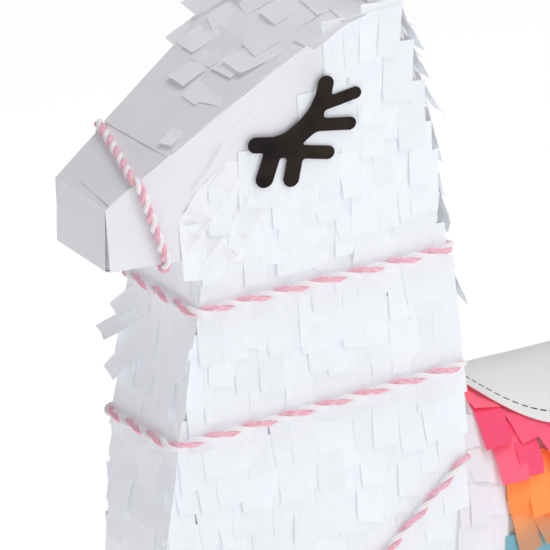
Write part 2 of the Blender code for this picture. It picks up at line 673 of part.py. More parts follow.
def fringe_tube(name, ring, low):
    """Tissue rows round a leg."""
    high = BELLY_Z - GAP
    profile = [(GAP, high)]
    profile += [(GAP + thick, high - along) for along, thick in saw_teeth(high - low)]
    profile.append((GAP, low))
    bm = bmesh.new()
    rings = [[bm.verts.new(at(x, y, z)) for x, y in shifted_ring(ring, offset)]
             for offset, z in profile]
    for upper, lower in zip(rings, rings[1:] + rings[:1]):
        for i in range(len(ring)):
            j = (i + 1) % len(ring)
            bm.faces.new((upper[i], upper[j], lower[j], lower[i]))
    return finish(name, bm, WHITE_TISSUE)


# ---------------------------------------------------------------- twine
def tube(name, points, closed=False):
    """Twine along points given in millimetres."""
    curve = bpy.data.curves.new(name, "CURVE")
    curve.dimensions = "3D"
    curve.bevel_depth = TWINE_RADIUS * MM
    curve.bevel_resolution = 2
    curve.use_fill_caps = not closed
    spline = curve.splines.new("POLY")
    spline.points.add(len(points) - 1)
    for target, point in zip(spline.points, points):
        target.co = (*at(*point), 1.0)
    spline.use_cyclic_u = closed
    curve.materials.append(TWINE_PINK)
    made = bpy.data.objects.new(name, curve)
    bpy.context.collection.objects.link(made)
    return made


def corner(x, y, z, first, second, off):
    """Three points round a card corner, from one outward direction to the other."""
    middle = ((first[0] + second[0]) * sqrt(0.5), (first[1] + second[1]) * sqrt(0.5),
              (first[2] + second[2]) * sqrt(0.5))
    return [(x + d[0] * off, y + d[1] * off, z + d[2] * off) for d in (first, middle, second)]


def between(a, b, count):
    """Evenly spaced points strictly between two points."""
    return [tuple(a[i] + (b[i] - a[i]) * k / (count + 1) for i in range(3))
            for k in range(1, count + 1)]


# heights above the belly at the neck's corners, in the order that the twine meets them
WRAP_HEIGHTS = [("rear", RIGHT, 219.0), ("rear", LEFT, 213.0), ("front", LEFT, 202.0),
                ("front", RIGHT, 201.0), ("rear", RIGHT, 176.0), ("rear", LEFT, 152.0),
                ("front", LEFT, 135.5), ("front", RIGHT, 133.0), ("rear", RIGHT, 107.0),
                ("rear", LEFT, 103.0)]
# where it runs down the left side to the belly, as (x, height above the belly)
WRAP_TAIL = [(158.0, 83.0), (137.0, 61.5), (120.0, 36.0), (107.0, 12.0)]


def build_twine():
    out = {LEFT: (0, -1, 0), RIGHT: (0, 1, 0)}
    faces = {"rear": (1, 0, 0), "front": (-1, 0, 0)}
    route = []
    last = None
    for end, side, height in WRAP_HEIGHTS:
        z = BELLY_Z + height
        x = on_line(NECK_BACK if end == "rear" else NECK_FRONT, z)
        same_side = last is None or last[1] == side
        first, second = (out[side], faces[end]) if same_side else (faces[end], out[side])
        points = corner(x, side * half_width(x), z, first, second, TWINE_OFF)
        if route:
            behind_barrel = end == "rear" and not same_side and z < RIDGE_Z + TWINE_OFF
            if behind_barrel:
                route += over_back(x + TWINE_OFF)
            else:
                route += between(route[-1], points[0], 5 if same_side else 2)
        route += points
        last = (end, side)
    route += [(x, -half_width(x) - TWINE_OFF, BELLY_Z + h) for x, h in WRAP_TAIL]
    x = WRAP_TAIL[-1][0] - 5.0
    down = (0, 0, -1)
    route += corner(x, -half_width(x), BELLY_Z, out[LEFT], down, TWINE_OFF)
    under = BELLY_Z - GAP - TWINE_RADIUS
    route += [(x - 3.0, -half_width(x) * 0.6, under), (x - 5.0, 0.0, under)]
    tube("neck_twine", route)

    slope = (NOSE[1][1] - NOSE[0][1]) / (NOSE[1][0] - NOSE[0][0])
    up = (-slope / sqrt(1 + slope * slope), 0, 1 / sqrt(1 + slope * slope))
    near_x, far_x, chin_near, chin_far = 14.5, 26.5, 28.0, 34.0
    loop = corner(near_x, -half_width(near_x), nose_z(near_x), up, out[LEFT], BRIDLE_OFF)
    low = corner(chin_near, -half_width(chin_near), CHIN_Z, out[LEFT], down, BRIDLE_OFF)
    loop += between(loop[-1], low[0], 3) + low
    far_low = corner(chin_far, half_width(chin_far), CHIN_Z, down, out[RIGHT], BRIDLE_OFF)
    loop += between(low[-1], far_low[0], 3) + far_low
    far_top = corner(far_x, half_width(far_x), nose_z(far_x), out[RIGHT], up, BRIDLE_OFF)
    loop += between(far_low[-1], far_top[0], 3) + far_top
    loop += between(far_top[-1], loop[0], 3)
    tube("bridle_twine", loop, closed=True)


def over_back(x):
    """Points over the round back behind the neck, from the far side to the near side."""
    radius = BARREL_RADIUS + TWINE_OFF
    points = []
    for share in (0.78, 0.6, 0.4, 0.2, 0.0, -0.2, -0.4, -0.6, -0.78):
        y = BARREL_RADIUS * share
        points.append((x, y, ARCH_Z + sqrt(radius * radius - y * y)))
    return points


build_neck_box()
build_face()
build_ears()
build_neck_fringe()
back_panel = build_barrel()
fill_opening = build_fill(back_panel)
build_barrel_fringe(fill_opening)
build_tail()
build_legs()
build_twine()
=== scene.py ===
from math import atan2, cos, pi, radians, sin, sqrt

import bpy
import numpy as np
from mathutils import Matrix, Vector


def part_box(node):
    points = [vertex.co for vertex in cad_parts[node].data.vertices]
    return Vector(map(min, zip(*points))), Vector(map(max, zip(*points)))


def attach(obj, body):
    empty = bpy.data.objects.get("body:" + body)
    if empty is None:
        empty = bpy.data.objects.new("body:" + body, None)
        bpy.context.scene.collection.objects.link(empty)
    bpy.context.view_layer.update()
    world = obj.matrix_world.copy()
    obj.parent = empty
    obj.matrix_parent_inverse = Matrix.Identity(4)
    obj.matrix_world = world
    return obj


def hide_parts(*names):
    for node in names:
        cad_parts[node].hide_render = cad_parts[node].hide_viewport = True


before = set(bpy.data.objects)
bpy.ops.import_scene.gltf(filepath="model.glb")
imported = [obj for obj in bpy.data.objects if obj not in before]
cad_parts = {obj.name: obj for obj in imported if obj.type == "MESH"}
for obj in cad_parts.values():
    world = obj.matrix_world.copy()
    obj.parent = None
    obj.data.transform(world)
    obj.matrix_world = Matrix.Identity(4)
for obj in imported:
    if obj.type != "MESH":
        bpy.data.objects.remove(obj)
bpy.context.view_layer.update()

print("frame loaded")


def clearSelection():
    if bpy.context.mode != "OBJECT":
        bpy.ops.object.mode_set(mode="OBJECT")
    bpy.ops.object.select_all(action="DESELECT")


def pickOnly(obj):
    clearSelection()
    obj.select_set(True)
    bpy.context.view_layer.objects.active = obj


def edgeOf(node, corner, axis):
    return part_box(node)[corner][axis] * 1000  # mm


shot = {"azimuth": -31.2, "elevation": 23.0, "target": (-0.07958, 0.00111, 0.33324),
        "distance": 6.0, "lens": 835.5}


def backVector(azimuth, elevation):
    a, e = radians(azimuth), radians(elevation)
    return Vector((sin(a) * cos(e), -cos(a) * cos(e), sin(e)))


def setCamera():
    camData = bpy.data.cameras.new("camera")
    camData.lens = shot["lens"]
    camData.clip_end = 20.0
    cam = bpy.data.objects.new("camera", camData)
    bpy.context.collection.objects.link(cam)
    back = backVector(shot["azimuth"], shot["elevation"])
    cam.location = Vector(shot["target"]) + back * shot["distance"]
    cam.rotation_euler = back.to_track_quat("Z", "Y").to_euler()
    bpy.context.scene.camera = cam


def newMaterial(name, colour, roughness):
    made = bpy.data.materials.new(name)
    made.use_nodes = True
    shader = made.node_tree.nodes["Principled BSDF"]
    shader.inputs["Base Color"].default_value = (*colour, 1.0)
    shader.inputs["Roughness"].default_value = roughness
    return made, made.node_tree, shader


studio = {"sky": (1.0, 0.98, 0.995), "skyStrength": 0.41, "floor": (0.93, 0.93, 0.93),
          "floorGlow": 0.43,
          "keyLight": {"place": (0.75, -1.7, 1.25), "aim": (0.0, 0.0, 0.30), "size": 1.0,
                       "power": 9.2, "colour": (0.95, 0.98, 1.0)},
          "topLight": {"place": (0.3, -0.6, 2.7), "aim": (0.0, 0.0, 0.30), "size": 1.4,
                       "power": 20.5, "colour": (1.0, 0.995, 0.98)}}


def softLight(name, spec):
    data = bpy.data.lights.new(name, "AREA")
    data.size = spec["size"]
    data.energy = spec["power"]
    data.color = spec["colour"]
    lamp = bpy.data.objects.new(name, data)
    bpy.context.collection.objects.link(lamp)
    lamp.location = spec["place"]
    away = Vector(spec["place"]) - Vector(spec["aim"])
    lamp.rotation_euler = away.to_track_quat("Z", "Y").to_euler()


def setStudio():
    clearSelection()
    bpy.ops.mesh.primitive_plane_add(size=14.0, location=(0, 0, 0))
    floor = bpy.context.object
    floor.name = "studioFloor"
    look, tree, shader = newMaterial("paleFloor", studio["floor"], 0.9)
    shader.inputs["Emission Color"].default_value = (1, 1, 1, 1)
    shader.inputs["Emission Strength"].default_value = studio["floorGlow"]
    floor.data.materials.append(look)
    world = bpy.data.worlds.new("softSky")
    world.use_nodes = True
    sky = world.node_tree.nodes["Background"]
    sky.inputs["Color"].default_value = (*studio["sky"], 1.0)
    sky.inputs["Strength"].default_value = studio["skyStrength"]
    bpy.context.scene.world = world
    for name in ("keyLight", "topLight"):
        softLight(name, studio[name])
    bpy.context.scene.view_settings.view_transform = "Standard"


setCamera()
setStudio()
print("camera, floor and light set")


def addNode(tree, kind, **values):
    node = tree.nodes.new(kind)
    for key, value in values.items():
        setattr(node, key, value)
    return node


def stretchedNoise(tree, source, stretch, scale, detail=3.0):
    mapping = addNode(tree, "ShaderNodeMapping")
    mapping.inputs["Scale"].default_value = stretch
    tree.links.new(source, mapping.inputs["Vector"])
    noise = addNode(tree, "ShaderNodeTexNoise")
    noise.inputs["Scale"].default_value = scale
    noise.inputs["Detail"].default_value = detail
    tree.links.new(mapping.outputs["Vector"], noise.inputs["Vector"])
    return noise.outputs["Fac"]


def ramped(tree, source, stops):
    ramp = addNode(tree, "ShaderNodeValToRGB")
    keys = ramp.color_ramp.elements
    while len(keys) < len(stops):
        keys.new(0.5)
    for key, (at, colour) in zip(keys, stops):
        key.position = at
        key.color = (*colour, 1.0)
    tree.links.new(source, ramp.inputs["Fac"])
    return ramp.outputs["Color"]


def bumped(tree, shader, height, strength, distance):
    bump = addNode(tree, "ShaderNodeBump")
    bump.inputs["Strength"].default_value = strength
    bump.inputs["Distance"].default_value = distance
    tree.links.new(height, bump.inputs["Height"])
    tree.links.new(bump.outputs["Normal"], shader.inputs["Normal"])


def mixed(tree, kind, a, b, factor):
    mix = addNode(tree, "ShaderNodeMix", data_type="RGBA", blend_type=kind)
    mix.inputs[0].default_value = 1.0
    for socket, value in ((mix.inputs[0], factor), (mix.inputs[6], a), (mix.inputs[7], b)):
        if isinstance(value, bpy.types.NodeSocket):
            tree.links.new(value, socket)
        elif isinstance(value, float):
            socket.default_value = value
        else:
            socket.default_value = (*value, 1.0)
    return mix.outputs[2]


# paintedGlow is painted light: the tissue emits a little light of its own, which lifts its shade in
# place of light through the thin tissue
weave = {"roughness": 0.72, "paintedGlow": 0.13, "crinkle": 3.0, "crinkleBump": 0.35,
         "tipFade": (0.25, 0.8)}  # where along a strip its tip colour starts and is full


def tissueMaterial(name, deep, pale, paintedGlow, tipColour=None):
    look, tree, shader = newMaterial(name, pale, weave["roughness"])
    uv = addNode(tree, "ShaderNodeUVMap", uv_map="UVMap")
    shade = addNode(tree, "ShaderNodeAttribute", attribute_name="shade")
    base = ramped(tree, shade.outputs["Fac"], [(0.0, deep), (1.0, pale)])
    if tipColour:
        along = addNode(tree, "ShaderNodeAttribute", attribute_name="along")
        fade = addNode(tree, "ShaderNodeMapRange")
        fade.inputs["From Min"].default_value = weave["tipFade"][0]
        fade.inputs["From Max"].default_value = weave["tipFade"][1]
        tree.links.new(along.outputs["Fac"], fade.inputs["Value"])
        base = mixed(tree, "MIX", base, tipColour, fade.outputs["Result"])
    crinkle = stretchedNoise(tree, uv.outputs["UV"], (1.0, 0.45, 1.0), weave["crinkle"])
    # the tissue is a little darker where the crinkle bump is low
    crinkleTint = ramped(tree, crinkle, [(0.3, (0.955, 0.96, 0.97)), (0.7, (1.0, 1.0, 1.0))])
    tree.links.new(mixed(tree, "MULTIPLY", base, crinkleTint, 1.0), shader.inputs["Base Color"])
    bumped(tree, shader, crinkle, weave["crinkleBump"], 0.0004)
    # painted glow: a faint emission that brightens the tissue's shaded parts
    shader.inputs["Emission Color"].default_value = (*paintedGlow, 1.0)
    shader.inputs["Emission Strength"].default_value = weave["paintedGlow"]
    shader.inputs["Specular IOR Level"].default_value = 0.3
    return look


def paperMaterial(name, colour, roughness):
    look, tree, shader = newMaterial(name, colour, roughness)
    own = addNode(tree, "ShaderNodeTexCoord")
    fibre = stretchedNoise(tree, own.outputs["Object"], (1.0, 1.0, 1.0), 900.0)
    cloud = stretchedNoise(tree, own.outputs["Object"], (1.0, 1.0, 1.0), 38.0, 2.0)
    tint = ramped(tree, cloud, [(0.35, (0.965, 0.97, 0.98)), (0.65, (1.0, 1.0, 1.0))])
    tree.links.new(mixed(tree, "MULTIPLY", colour, tint, 1.0), shader.inputs["Base Color"])
    bumped(tree, shader, fibre, 0.12, 0.0002)
    shader.inputs["Specular IOR Level"].default_value = 0.35
    return look


def cardMaterial(name, colour):
    look, tree, shader = newMaterial(name, colour, 0.85)
    own = addNode(tree, "ShaderNodeTexCoord")
    flute = addNode(tree, "ShaderNodeTexWave", bands_direction="Z")
    flute.inputs["Scale"].default_value = 70.0
    flute.inputs["Distortion"].default_value = 0.6
    tree.links.new(own.outputs["Object"], flute.inputs["Vector"])
    fibre = stretchedNoise(tree, own.outputs["Object"], (1.0, 1.0, 1.0), 420.0)
    tint = ramped(tree, fibre, [(0.3, (0.93, 0.92, 0.90)), (0.7, (1.0, 1.0, 1.0))])
    tree.links.new(mixed(tree, "MULTIPLY", colour, tint, 1.0), shader.inputs["Base Color"])
    bumped(tree, shader, flute.outputs["Fac"], 0.15, 0.0004)
    return look


def yarnMaterial(name, dark, light):
    look, tree, shader = newMaterial(name, light, 0.85)
    uv = addNode(tree, "ShaderNodeUVMap", uv_map="UVMap")
    fibre = stretchedNoise(tree, uv.outputs["UV"], (1.0, 5.0, 1.0), 2.2, 4.0)
    # the same fibre noise sets colour and bump: raised fibres lighter and low ones darker, partly
    # the yarn's own fibre tone and partly painted highlight and shade
    tree.links.new(ramped(tree, fibre, [(0.3, dark), (0.62, light)]), shader.inputs["Base Color"])
    bumped(tree, shader, fibre, 0.6, 0.0004)
    shader.inputs["Sheen Weight"].default_value = 0.3
    shader.inputs["Specular IOR Level"].default_value = 0.2
    return look


def labelMaterial(name, colour, ink):
    look = paperMaterial(name, colour, 0.5)
    tree = look.node_tree
    shader = tree.nodes["Principled BSDF"]
    own = addNode(tree, "ShaderNodeTexCoord")
    centre = addNode(tree, "ShaderNodeMapping")
    centre.inputs["Location"].default_value = (-labelCentre[0], -labelCentre[1], 0)
    tree.links.new(own.outputs["Object"], centre.inputs["Vector"])
    split = addNode(tree, "ShaderNodeSeparateXYZ")
    tree.links.new(centre.outputs["Vector"], split.inputs["Vector"])

    def maths(kind, a, b=0.0):
        node = addNode(tree, "ShaderNodeMath", operation=kind)
        for socket, value in zip(node.inputs, (a, b)):
            if isinstance(value, bpy.types.NodeSocket):
                tree.links.new(value, socket)
            else:
                socket.default_value = value
        return node.outputs[0]

    x, y = split.outputs["X"], split.outputs["Y"]
    far = maths("SQRT", maths("ADD", maths("MULTIPLY", x, x), maths("MULTIPLY", y, y)))
    onRing = maths("LESS_THAN", maths("ABSOLUTE", maths("SUBTRACT", far, dashes["radius"])),
                   dashes["wide"] / 2)
    turn = maths("MULTIPLY", maths("ARCTAN2", y, x), dashes["count"] / (2 * pi))
    onDash = maths("LESS_THAN", maths("FRACT", maths("ADD", turn, 100.0)), dashes["share"])
    nearSide = maths("LESS_THAN", y, dashes["fold"])
    inked = maths("MULTIPLY", maths("MULTIPLY", onRing, onDash), nearSide)
    paperColour = shader.inputs["Base Color"].links[0].from_socket
    tree.links.new(mixed(tree, "MIX", paperColour, ink, inked), shader.inputs["Base Color"])
    return look


def glossMaterial(name, colour):
    look, tree, shader = newMaterial(name, colour, 0.22)
    own = addNode(tree, "ShaderNodeTexCoord")
    smearAndSheen = stretchedNoise(tree, own.outputs["Object"], (1.0, 1.0, 1.0), 60.0, 2.0)
    # the lighter brown where the noise is high is painted reflection; the same noise also varies
    # the real roughness and bump
    tint = ramped(tree, smearAndSheen, [(0.35, (0.007, 0.005, 0.005)), (0.7, (0.030, 0.021, 0.016))])
    tree.links.new(tint, shader.inputs["Base Color"])
    rough = ramped(tree, smearAndSheen, [(0.3, (0.16, 0.16, 0.16)), (0.8, (0.34, 0.34, 0.34))])
    tree.links.new(rough, shader.inputs["Roughness"])
    bumped(tree, shader, smearAndSheen, 0.10, 0.0006)
    shader.inputs["Specular IOR Level"].default_value = 0.1
    return look


dashes = {"radius": 0.035, "wide": 0.0007, "count": 49, "share": 0.66, "fold": 0.0242}
labelCentre = (0.5 * (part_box("label_rim")[0].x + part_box("label_rim")[1].x), 0.0)

finishes = {
    # the third colour of each tissue finish is the colour of its painted glow
    "whiteTissue": tissueMaterial("whiteTissue", (0.785, 0.81, 0.845), (0.835, 0.862, 0.90),
                                  (0.97, 0.97, 1.0)),
    # shoulderTissue is the white tissue made darker and pinker: painted shade beside the neck and
    # painted pink bounce light from the saddle
    "shoulderTissue": tissueMaterial("shoulderTissue", (0.76, 0.735, 0.765), (0.80, 0.775, 0.81),
                                     (0.97, 0.95, 0.98)),
    "jawTissue": tissueMaterial("jawTissue", (0.82, 0.83, 0.86), (0.84, 0.85, 0.885),
                                (0.97, 0.97, 1.0)),
    # crownTissue is a darker, less blue copy of the white tissue: painted shade on the top of the
    # head
    "crownTissue": tissueMaterial("crownTissue", (0.73, 0.73, 0.765), (0.775, 0.775, 0.81),
                                  (0.97, 0.97, 1.0)),
    "pinkTissue": tissueMaterial("pinkTissue", (0.88, 0.065, 0.17), (0.99, 0.17, 0.26),
                                 (1.0, 0.13, 0.19)),
    "orangeTissue": tissueMaterial("orangeTissue", (0.95, 0.17, 0.03), (1.0, 0.34, 0.09),
                                   (1.0, 0.3, 0.08)),
    "tanTissue": tissueMaterial("tanTissue", (0.95, 0.26, 0.06), (1.0, 0.34, 0.10),
                                (1.0, 0.4, 0.2), (0.50, 0.27, 0.16)),
    "blueTissue": tissueMaterial("blueTissue", (0.10, 0.33, 0.40), (0.30, 0.58, 0.68),
                                 (0.3, 0.6, 0.7)),
    "whitePaper": paperMaterial("whitePaper", (0.88, 0.89, 0.925), 0.62),
    "labelPaper": labelMaterial("labelPaper", (0.87, 0.86, 0.845), (0.09, 0.09, 0.10)),
    "glossBlack": glossMaterial("glossBlack", (0.02, 0.016, 0.014)),
    "whiteCard": cardMaterial("whiteCard", (0.84, 0.84, 0.84)),
    # each yarn's lighter colour is also its painted highlight on the raised fibres
    "pinkYarn": yarnMaterial("pinkYarn", (0.88, 0.36, 0.46), (0.96, 0.60, 0.68)),
    "whiteYarn": yarnMaterial("whiteYarn", (0.90, 0.86, 0.88), (0.97, 0.95, 0.96)),
}
print("finishes made")

muzzleX = edgeOf("neck_side_left", 0, 0)  # the muzzle tip, where the lengths below start
card = {
    "muzzle": 22.0, "splay": 0.14,  # half-width at the muzzle, and its growth towards the tail
    "chin": edgeOf("neck_side_left", 0, 2) + 229.0,
    "crown": edgeOf("neck_side_left", 1, 2), "belly": edgeOf("neck_side_left", 0, 2),
    "ridge": edgeOf("back_panel", 1, 2), "radius": edgeOf("back_panel", 1, 1),
    "barrel0": edgeOf("back_panel", 0, 0) - muzzleX,
    "barrel1": edgeOf("back_panel", 1, 0) - muzzleX,
    "saddle0": edgeOf("saddle_pink_left", 0, 0) - muzzleX,
    "saddle1": edgeOf("saddle_pink_left", 1, 0) - muzzleX,
}
card["arch"] = card["ridge"] - card["radius"]
# the card's side outlines as (x, z)
neckBack = [(144, 477), (159, 423.5), (165, 372.2), (173, 320.9), (177, 254), (177, 138)]
neckFront = [(47, 367), (44, 337.2), (33, 268.5), (28, 215.9), (34, 138)]
noseLine = [(0, 398), (84, 454)]
noseRise = (noseLine[1][1] - noseLine[0][1]) / (noseLine[1][0] - noseLine[0][0])


def halfWidth(x):
    return card["muzzle"] + card["splay"] * x


def lineX(points, z):
    zs = [p[1] for p in points][::-1]
    xs = [p[0] for p in points][::-1]
    return float(np.interp(z, zs, xs))


def noseZ(x):
    return noseLine[0][1] + noseRise * x


def unit(v):
    return v / np.linalg.norm(v, axis=-1, keepdims=True)


noseUp = unit(np.array([-noseRise, 0.0, 1.0]))


# each surface is place(a, d, h): a across a row, d down from its top, h out from the card
def sideSurface(side):
    out = unit(np.array([-card["splay"], side, 0.0]))

    def place(a, d, h):
        spot = np.stack([a, side * (card["muzzle"] + card["splay"] * a), card["crown"] - d], -1)
        return spot + out * h[..., None]
    return place


def foldedSurface(points, facing, smooth=5.0):
    # a card strip that follows an (x, z) line; its folds are rounded
    line = np.array(points, float)
    first, last = unit(line[0] - line[1]), unit(line[-1] - line[-2])
    line = np.vstack([line[0] + first * 60, line, line[-1] + last * 60])
    gaps = np.linalg.norm(np.diff(line, axis=0), axis=1)
    runs = np.concatenate([[0], np.cumsum(gaps)])
    s = np.arange(0, runs[-1], 1.0)
    raw = np.stack([np.interp(s, runs, line[:, 0]), np.interp(s, runs, line[:, 1])], -1)
    kernel = np.exp(-0.5 * (np.arange(-12, 13) / smooth) ** 2)
    kernel /= kernel.sum()
    soft = np.stack([np.convolve(np.pad(raw[:, i], 12, "edge"), kernel, "valid")
                     for i in (0, 1)], -1)
    heading = unit(np.gradient(soft, axis=0))
    out = np.stack([-heading[:, 1], heading[:, 0]], -1) * facing
    s = s - 60.0

    def place(a, d, h):
        x = np.interp(d, s, soft[:, 0]) + np.interp(d, s, out[:, 0]) * h
        z = np.interp(d, s, soft[:, 1]) + np.interp(d, s, out[:, 1]) * h
        return np.stack([x, a, z], -1)
    return place


def barrelSurface(side):
    quarter = card["radius"] * pi / 2

    def place(a, d, h):
        angle = np.clip(d / card["radius"], -pi / 2, pi / 2)
        drop = np.maximum(d - quarter, 0.0)
        r = card["radius"] + h
        return np.stack([a, side * r * np.sin(angle), card["arch"] + r * np.cos(angle) - drop], -1)
    return place


def uprightSurface(corner, far, top):
    # a flat upright face between two plan corners; outwards is on the right of corner to far
    p, q = np.array(corner, float), np.array(far, float)
    run = unit(q - p)
    out = np.array([run[1], -run[0]])

    def place(a, d, h):
        xy = p + run * a[..., None] + out * h[..., None]
        return np.concatenate([xy, (top - d)[..., None]], -1)
    return place


# the twine comes before the tissue, because the tissue is pressed down under it
twine = {"radius": 2.25, "off": 4.4, "bridleOff": 3.9, "turn": 19.0, "bridleTurn": 11.0,
         "strand": 1.25, "apart": 1.15, "tailEnd": 5.0}


def roundCorner(x, y, z, first, second, off):
    first, second = np.array(first, float), np.array(second, float)
    return [np.array([x, y, z]) + unit(first * (1 - t) + second * t) * off
            for t in (0.0, 0.5, 1.0)]


neckTurns = [("rear", 1, 219.0), ("rear", -1, 213.0), ("front", -1, 202.0), ("front", 1, 201.0),
             ("rear", 1, 176.0), ("rear", -1, 152.0), ("front", -1, 135.5), ("front", 1, 133.0),
             ("rear", 1, 107.0), ("rear", -1, 103.0)]
tailTurn = [(158.0, 83.0), (137.0, 61.5), (120.0, 36.0), (107.0, 12.0)]


def neckRoute():
    faces = {"rear": (1, 0, 0), "front": (-1, 0, 0)}
    route, last = [], None
    for end, side, height in neckTurns:
        z = card["belly"] + height
        x = lineX(neckBack if end == "rear" else neckFront, z)
        same = last is None or last == side
        outward = (0, side, 0)
        first, second = (outward, faces[end]) if same else (faces[end], outward)
        corner = roundCorner(x, side * halfWidth(x), z, first, second, twine["off"])
        if route and end == "rear" and not same and z < card["ridge"] + twine["off"]:
            start = route[-1]
            r = card["radius"] + twine["off"]
            low, high = (atan2(p[1], p[2] - card["arch"]) for p in (start, corner[0]))
            for t in np.linspace(0.12, 0.88, 9):
                angle = low + (high - low) * t
                route.append(np.array([x + twine["off"], r * sin(angle),
                                       card["arch"] + r * cos(angle)]))
        route += corner
        last = side
    route += [np.array([x, -halfWidth(x) - twine["off"], card["belly"] + h]) for x, h in tailTurn]
    x = tailTurn[-1][0] - twine["tailEnd"]
    route += roundCorner(x, -halfWidth(x), card["belly"], (0, -1, 0), (0, 0, -1), twine["off"])
    under = card["belly"] - 0.3 - twine["radius"]
    route += [np.array([x - 3.0, -halfWidth(x) * 0.6, under]), np.array([x - 5.0, 0.0, under])]
    return np.array(route)


def bridleRoute():
    down, left, right = (0, 0, -1), (0, -1, 0), (0, 1, 0)
    off = twine["bridleOff"]
    route = roundCorner(14.5, -halfWidth(14.5), noseZ(14.5), noseUp, left, off)
    route += roundCorner(28.0, -halfWidth(28.0), card["chin"], left, down, off)
    route += roundCorner(34.0, halfWidth(34.0), card["chin"], down, right, off)
    route += roundCorner(26.5, halfWidth(26.5), noseZ(26.5), right, noseUp, off)
    return np.array(route)


def evenRoute(points, step, closed=False):
    # straight between corners, with the corners eased
    pts = np.vstack([points, points[:1]]) if closed else points
    gaps = np.linalg.norm(np.diff(pts, axis=0), axis=1)
    runs = np.concatenate([[0], np.cumsum(gaps)])
    count = int(runs[-1] / step)
    s = np.linspace(0, runs[-1], count + 1)
    even = np.stack([np.interp(s, runs, pts[:, i]) for i in range(3)], -1)
    kernel = np.array([1, 2, 3, 2, 1]) / 9.0
    mode = "wrap" if closed else "edge"
    body = even[:-1] if closed else even
    soft = np.stack([np.convolve(np.pad(body[:, i], 2, mode), kernel, "valid")
                     for i in range(3)], -1)
    if not closed:
        soft[0], soft[-1] = even[0], even[-1]
    return soft


neckPath = evenRoute(neckRoute(), 1.6)
bridlePath = evenRoute(bridleRoute(), 1.4, closed=True)

stripShape = {"across": 2, "along": 6, "thickness": 0.14, "tipScale": 0.95}


def modelStrip():
    clearSelection()
    bpy.ops.mesh.primitive_grid_add(x_subdivisions=stripShape["across"],
                                    y_subdivisions=stripShape["along"], size=1.0,
                                    calc_uvs=True, location=(0, 0, 0))
    strip = bpy.context.object
    strip.name = "oneStrip"
    bpy.ops.object.mode_set(mode="EDIT")
    bpy.ops.mesh.select_all(action="DESELECT")
    bpy.ops.object.mode_set(mode="OBJECT")
    for vert in strip.data.vertices:
        vert.select = vert.co.y < -0.49
    bpy.ops.object.mode_set(mode="EDIT")
    bpy.ops.transform.resize(value=(stripShape["tipScale"], 1, 1))
    bpy.ops.object.mode_set(mode="OBJECT")
    wall = strip.modifiers.new("wall", "SOLIDIFY")
    wall.thickness = stripShape["thickness"]
    wall.offset = 0.0
    bpy.ops.object.modifier_apply(modifier="wall")
    mesh = strip.data
    shape = {
        "verts": np.array([v.co for v in mesh.vertices]),
        "faces": [list(p.vertices) for p in mesh.polygons],
        "uv": np.array([d.uv for d in mesh.uv_layers[0].data]),
    }
    shape["verts"][:, 1] = 0.5 - shape["verts"][:, 1]  # 0 at the glued edge, 1 at the tip
    bpy.data.objects.remove(strip)
    return shape


oneStrip = modelStrip()
rng = np.random.default_rng(11)
columns = ("a", "d", "wide", "long", "tilt", "lift", "rise", "cup", "crumple", "skew", "shade")


def stripRows(spans, tissue):
    # spans: one (depth, low, high) for each row
    laid = []
    for depth, low, high in spans:
        room = high - low
        if room < 4.0:
            continue
        count = max(1, round((room + 1.0) / tissue["across"]))
        step = room / count
        sway = rng.normal(0, tissue["sway"])
        for i in range(count):
            sway = 0.55 * sway + rng.normal(0, tissue["sway"])
            wild = 2.6 if rng.random() < tissue["wild"] else 1.0
            laid.append((
                low + step * (i + 0.5) + rng.normal(0, 0.5),
                depth + rng.normal(0, tissue["stagger"]),
                step * rng.uniform(1.12, 1.38),
                tissue["long"] * rng.uniform(0.88, 1.12),
                radians(sway * wild + tissue["lean"]),
                tissue["lift"] + rng.uniform(0, 0.5) + 0.28 * (i % 2),
                tissue["rise"] * rng.uniform(0.6, 1.3) * wild,
                rng.normal(0, tissue["cup"]),
                tissue["crumple"] * rng.uniform(0.4, 1.5),
                rng.normal(0, 1.2),
                rng.uniform(0, 1),
            ))
    return np.array(laid).reshape(-1, len(columns))


pressed = {"under": 1.5, "near": 4.0, "slope": 0.5}  # how the twine holds the tissue down


def layStrips(strips, place, press=None, floor=0.45, limit=None):
    base = oneStrip["verts"]
    u, v, w = base[:, 0][None], base[:, 1][None], base[:, 2][None]
    part = {key: strips[:, i][:, None] for i, key in enumerate(columns)}
    across = u * part["wide"]
    along = v * part["long"] + across * part["skew"] * 0.12 * v
    a = part["a"] + across * np.cos(part["tilt"]) + along * np.sin(part["tilt"])
    d = part["d"] + along * np.cos(part["tilt"]) - across * np.sin(part["tilt"]) * 0.6
    one, two, three = (rng.uniform(0, 2 * pi, (len(strips), 1)) for _ in range(3))
    fold = part["crumple"] * (0.55 * np.sin(v * 7.5 + one) + 0.35 * np.sin(v * 13 + u * 4 + two)
                              + 0.3 * np.sin(u * 5 + three)) * np.minimum(1.0, 0.15 + v * 1.6)
    h = (part["lift"] + part["rise"] * v ** 1.5 + part["cup"] * (4 * u * u - 0.5) * v + fold)
    h = np.maximum(h, floor)
    if limit is not None:
        a, d, h = limit(a, d, h)
    spots = place(a, d, h)
    if press is not None:
        flat = spots.reshape(-1, 3)
        near = np.full(len(flat), 1e9)
        for start in range(0, len(press), 64):
            chunk = press[start:start + 64]
            gap = np.linalg.norm(flat[:, None] - chunk[None], axis=2).min(axis=1)
            near = np.minimum(near, gap)
        near = near.reshape(h.shape)
        room = pressed["under"] + np.maximum(0.0, near - pressed["near"]) * pressed["slope"]
        h = np.minimum(h, np.maximum(room, floor))
    return place(a, d, h + w), part["shade"][:, 0]


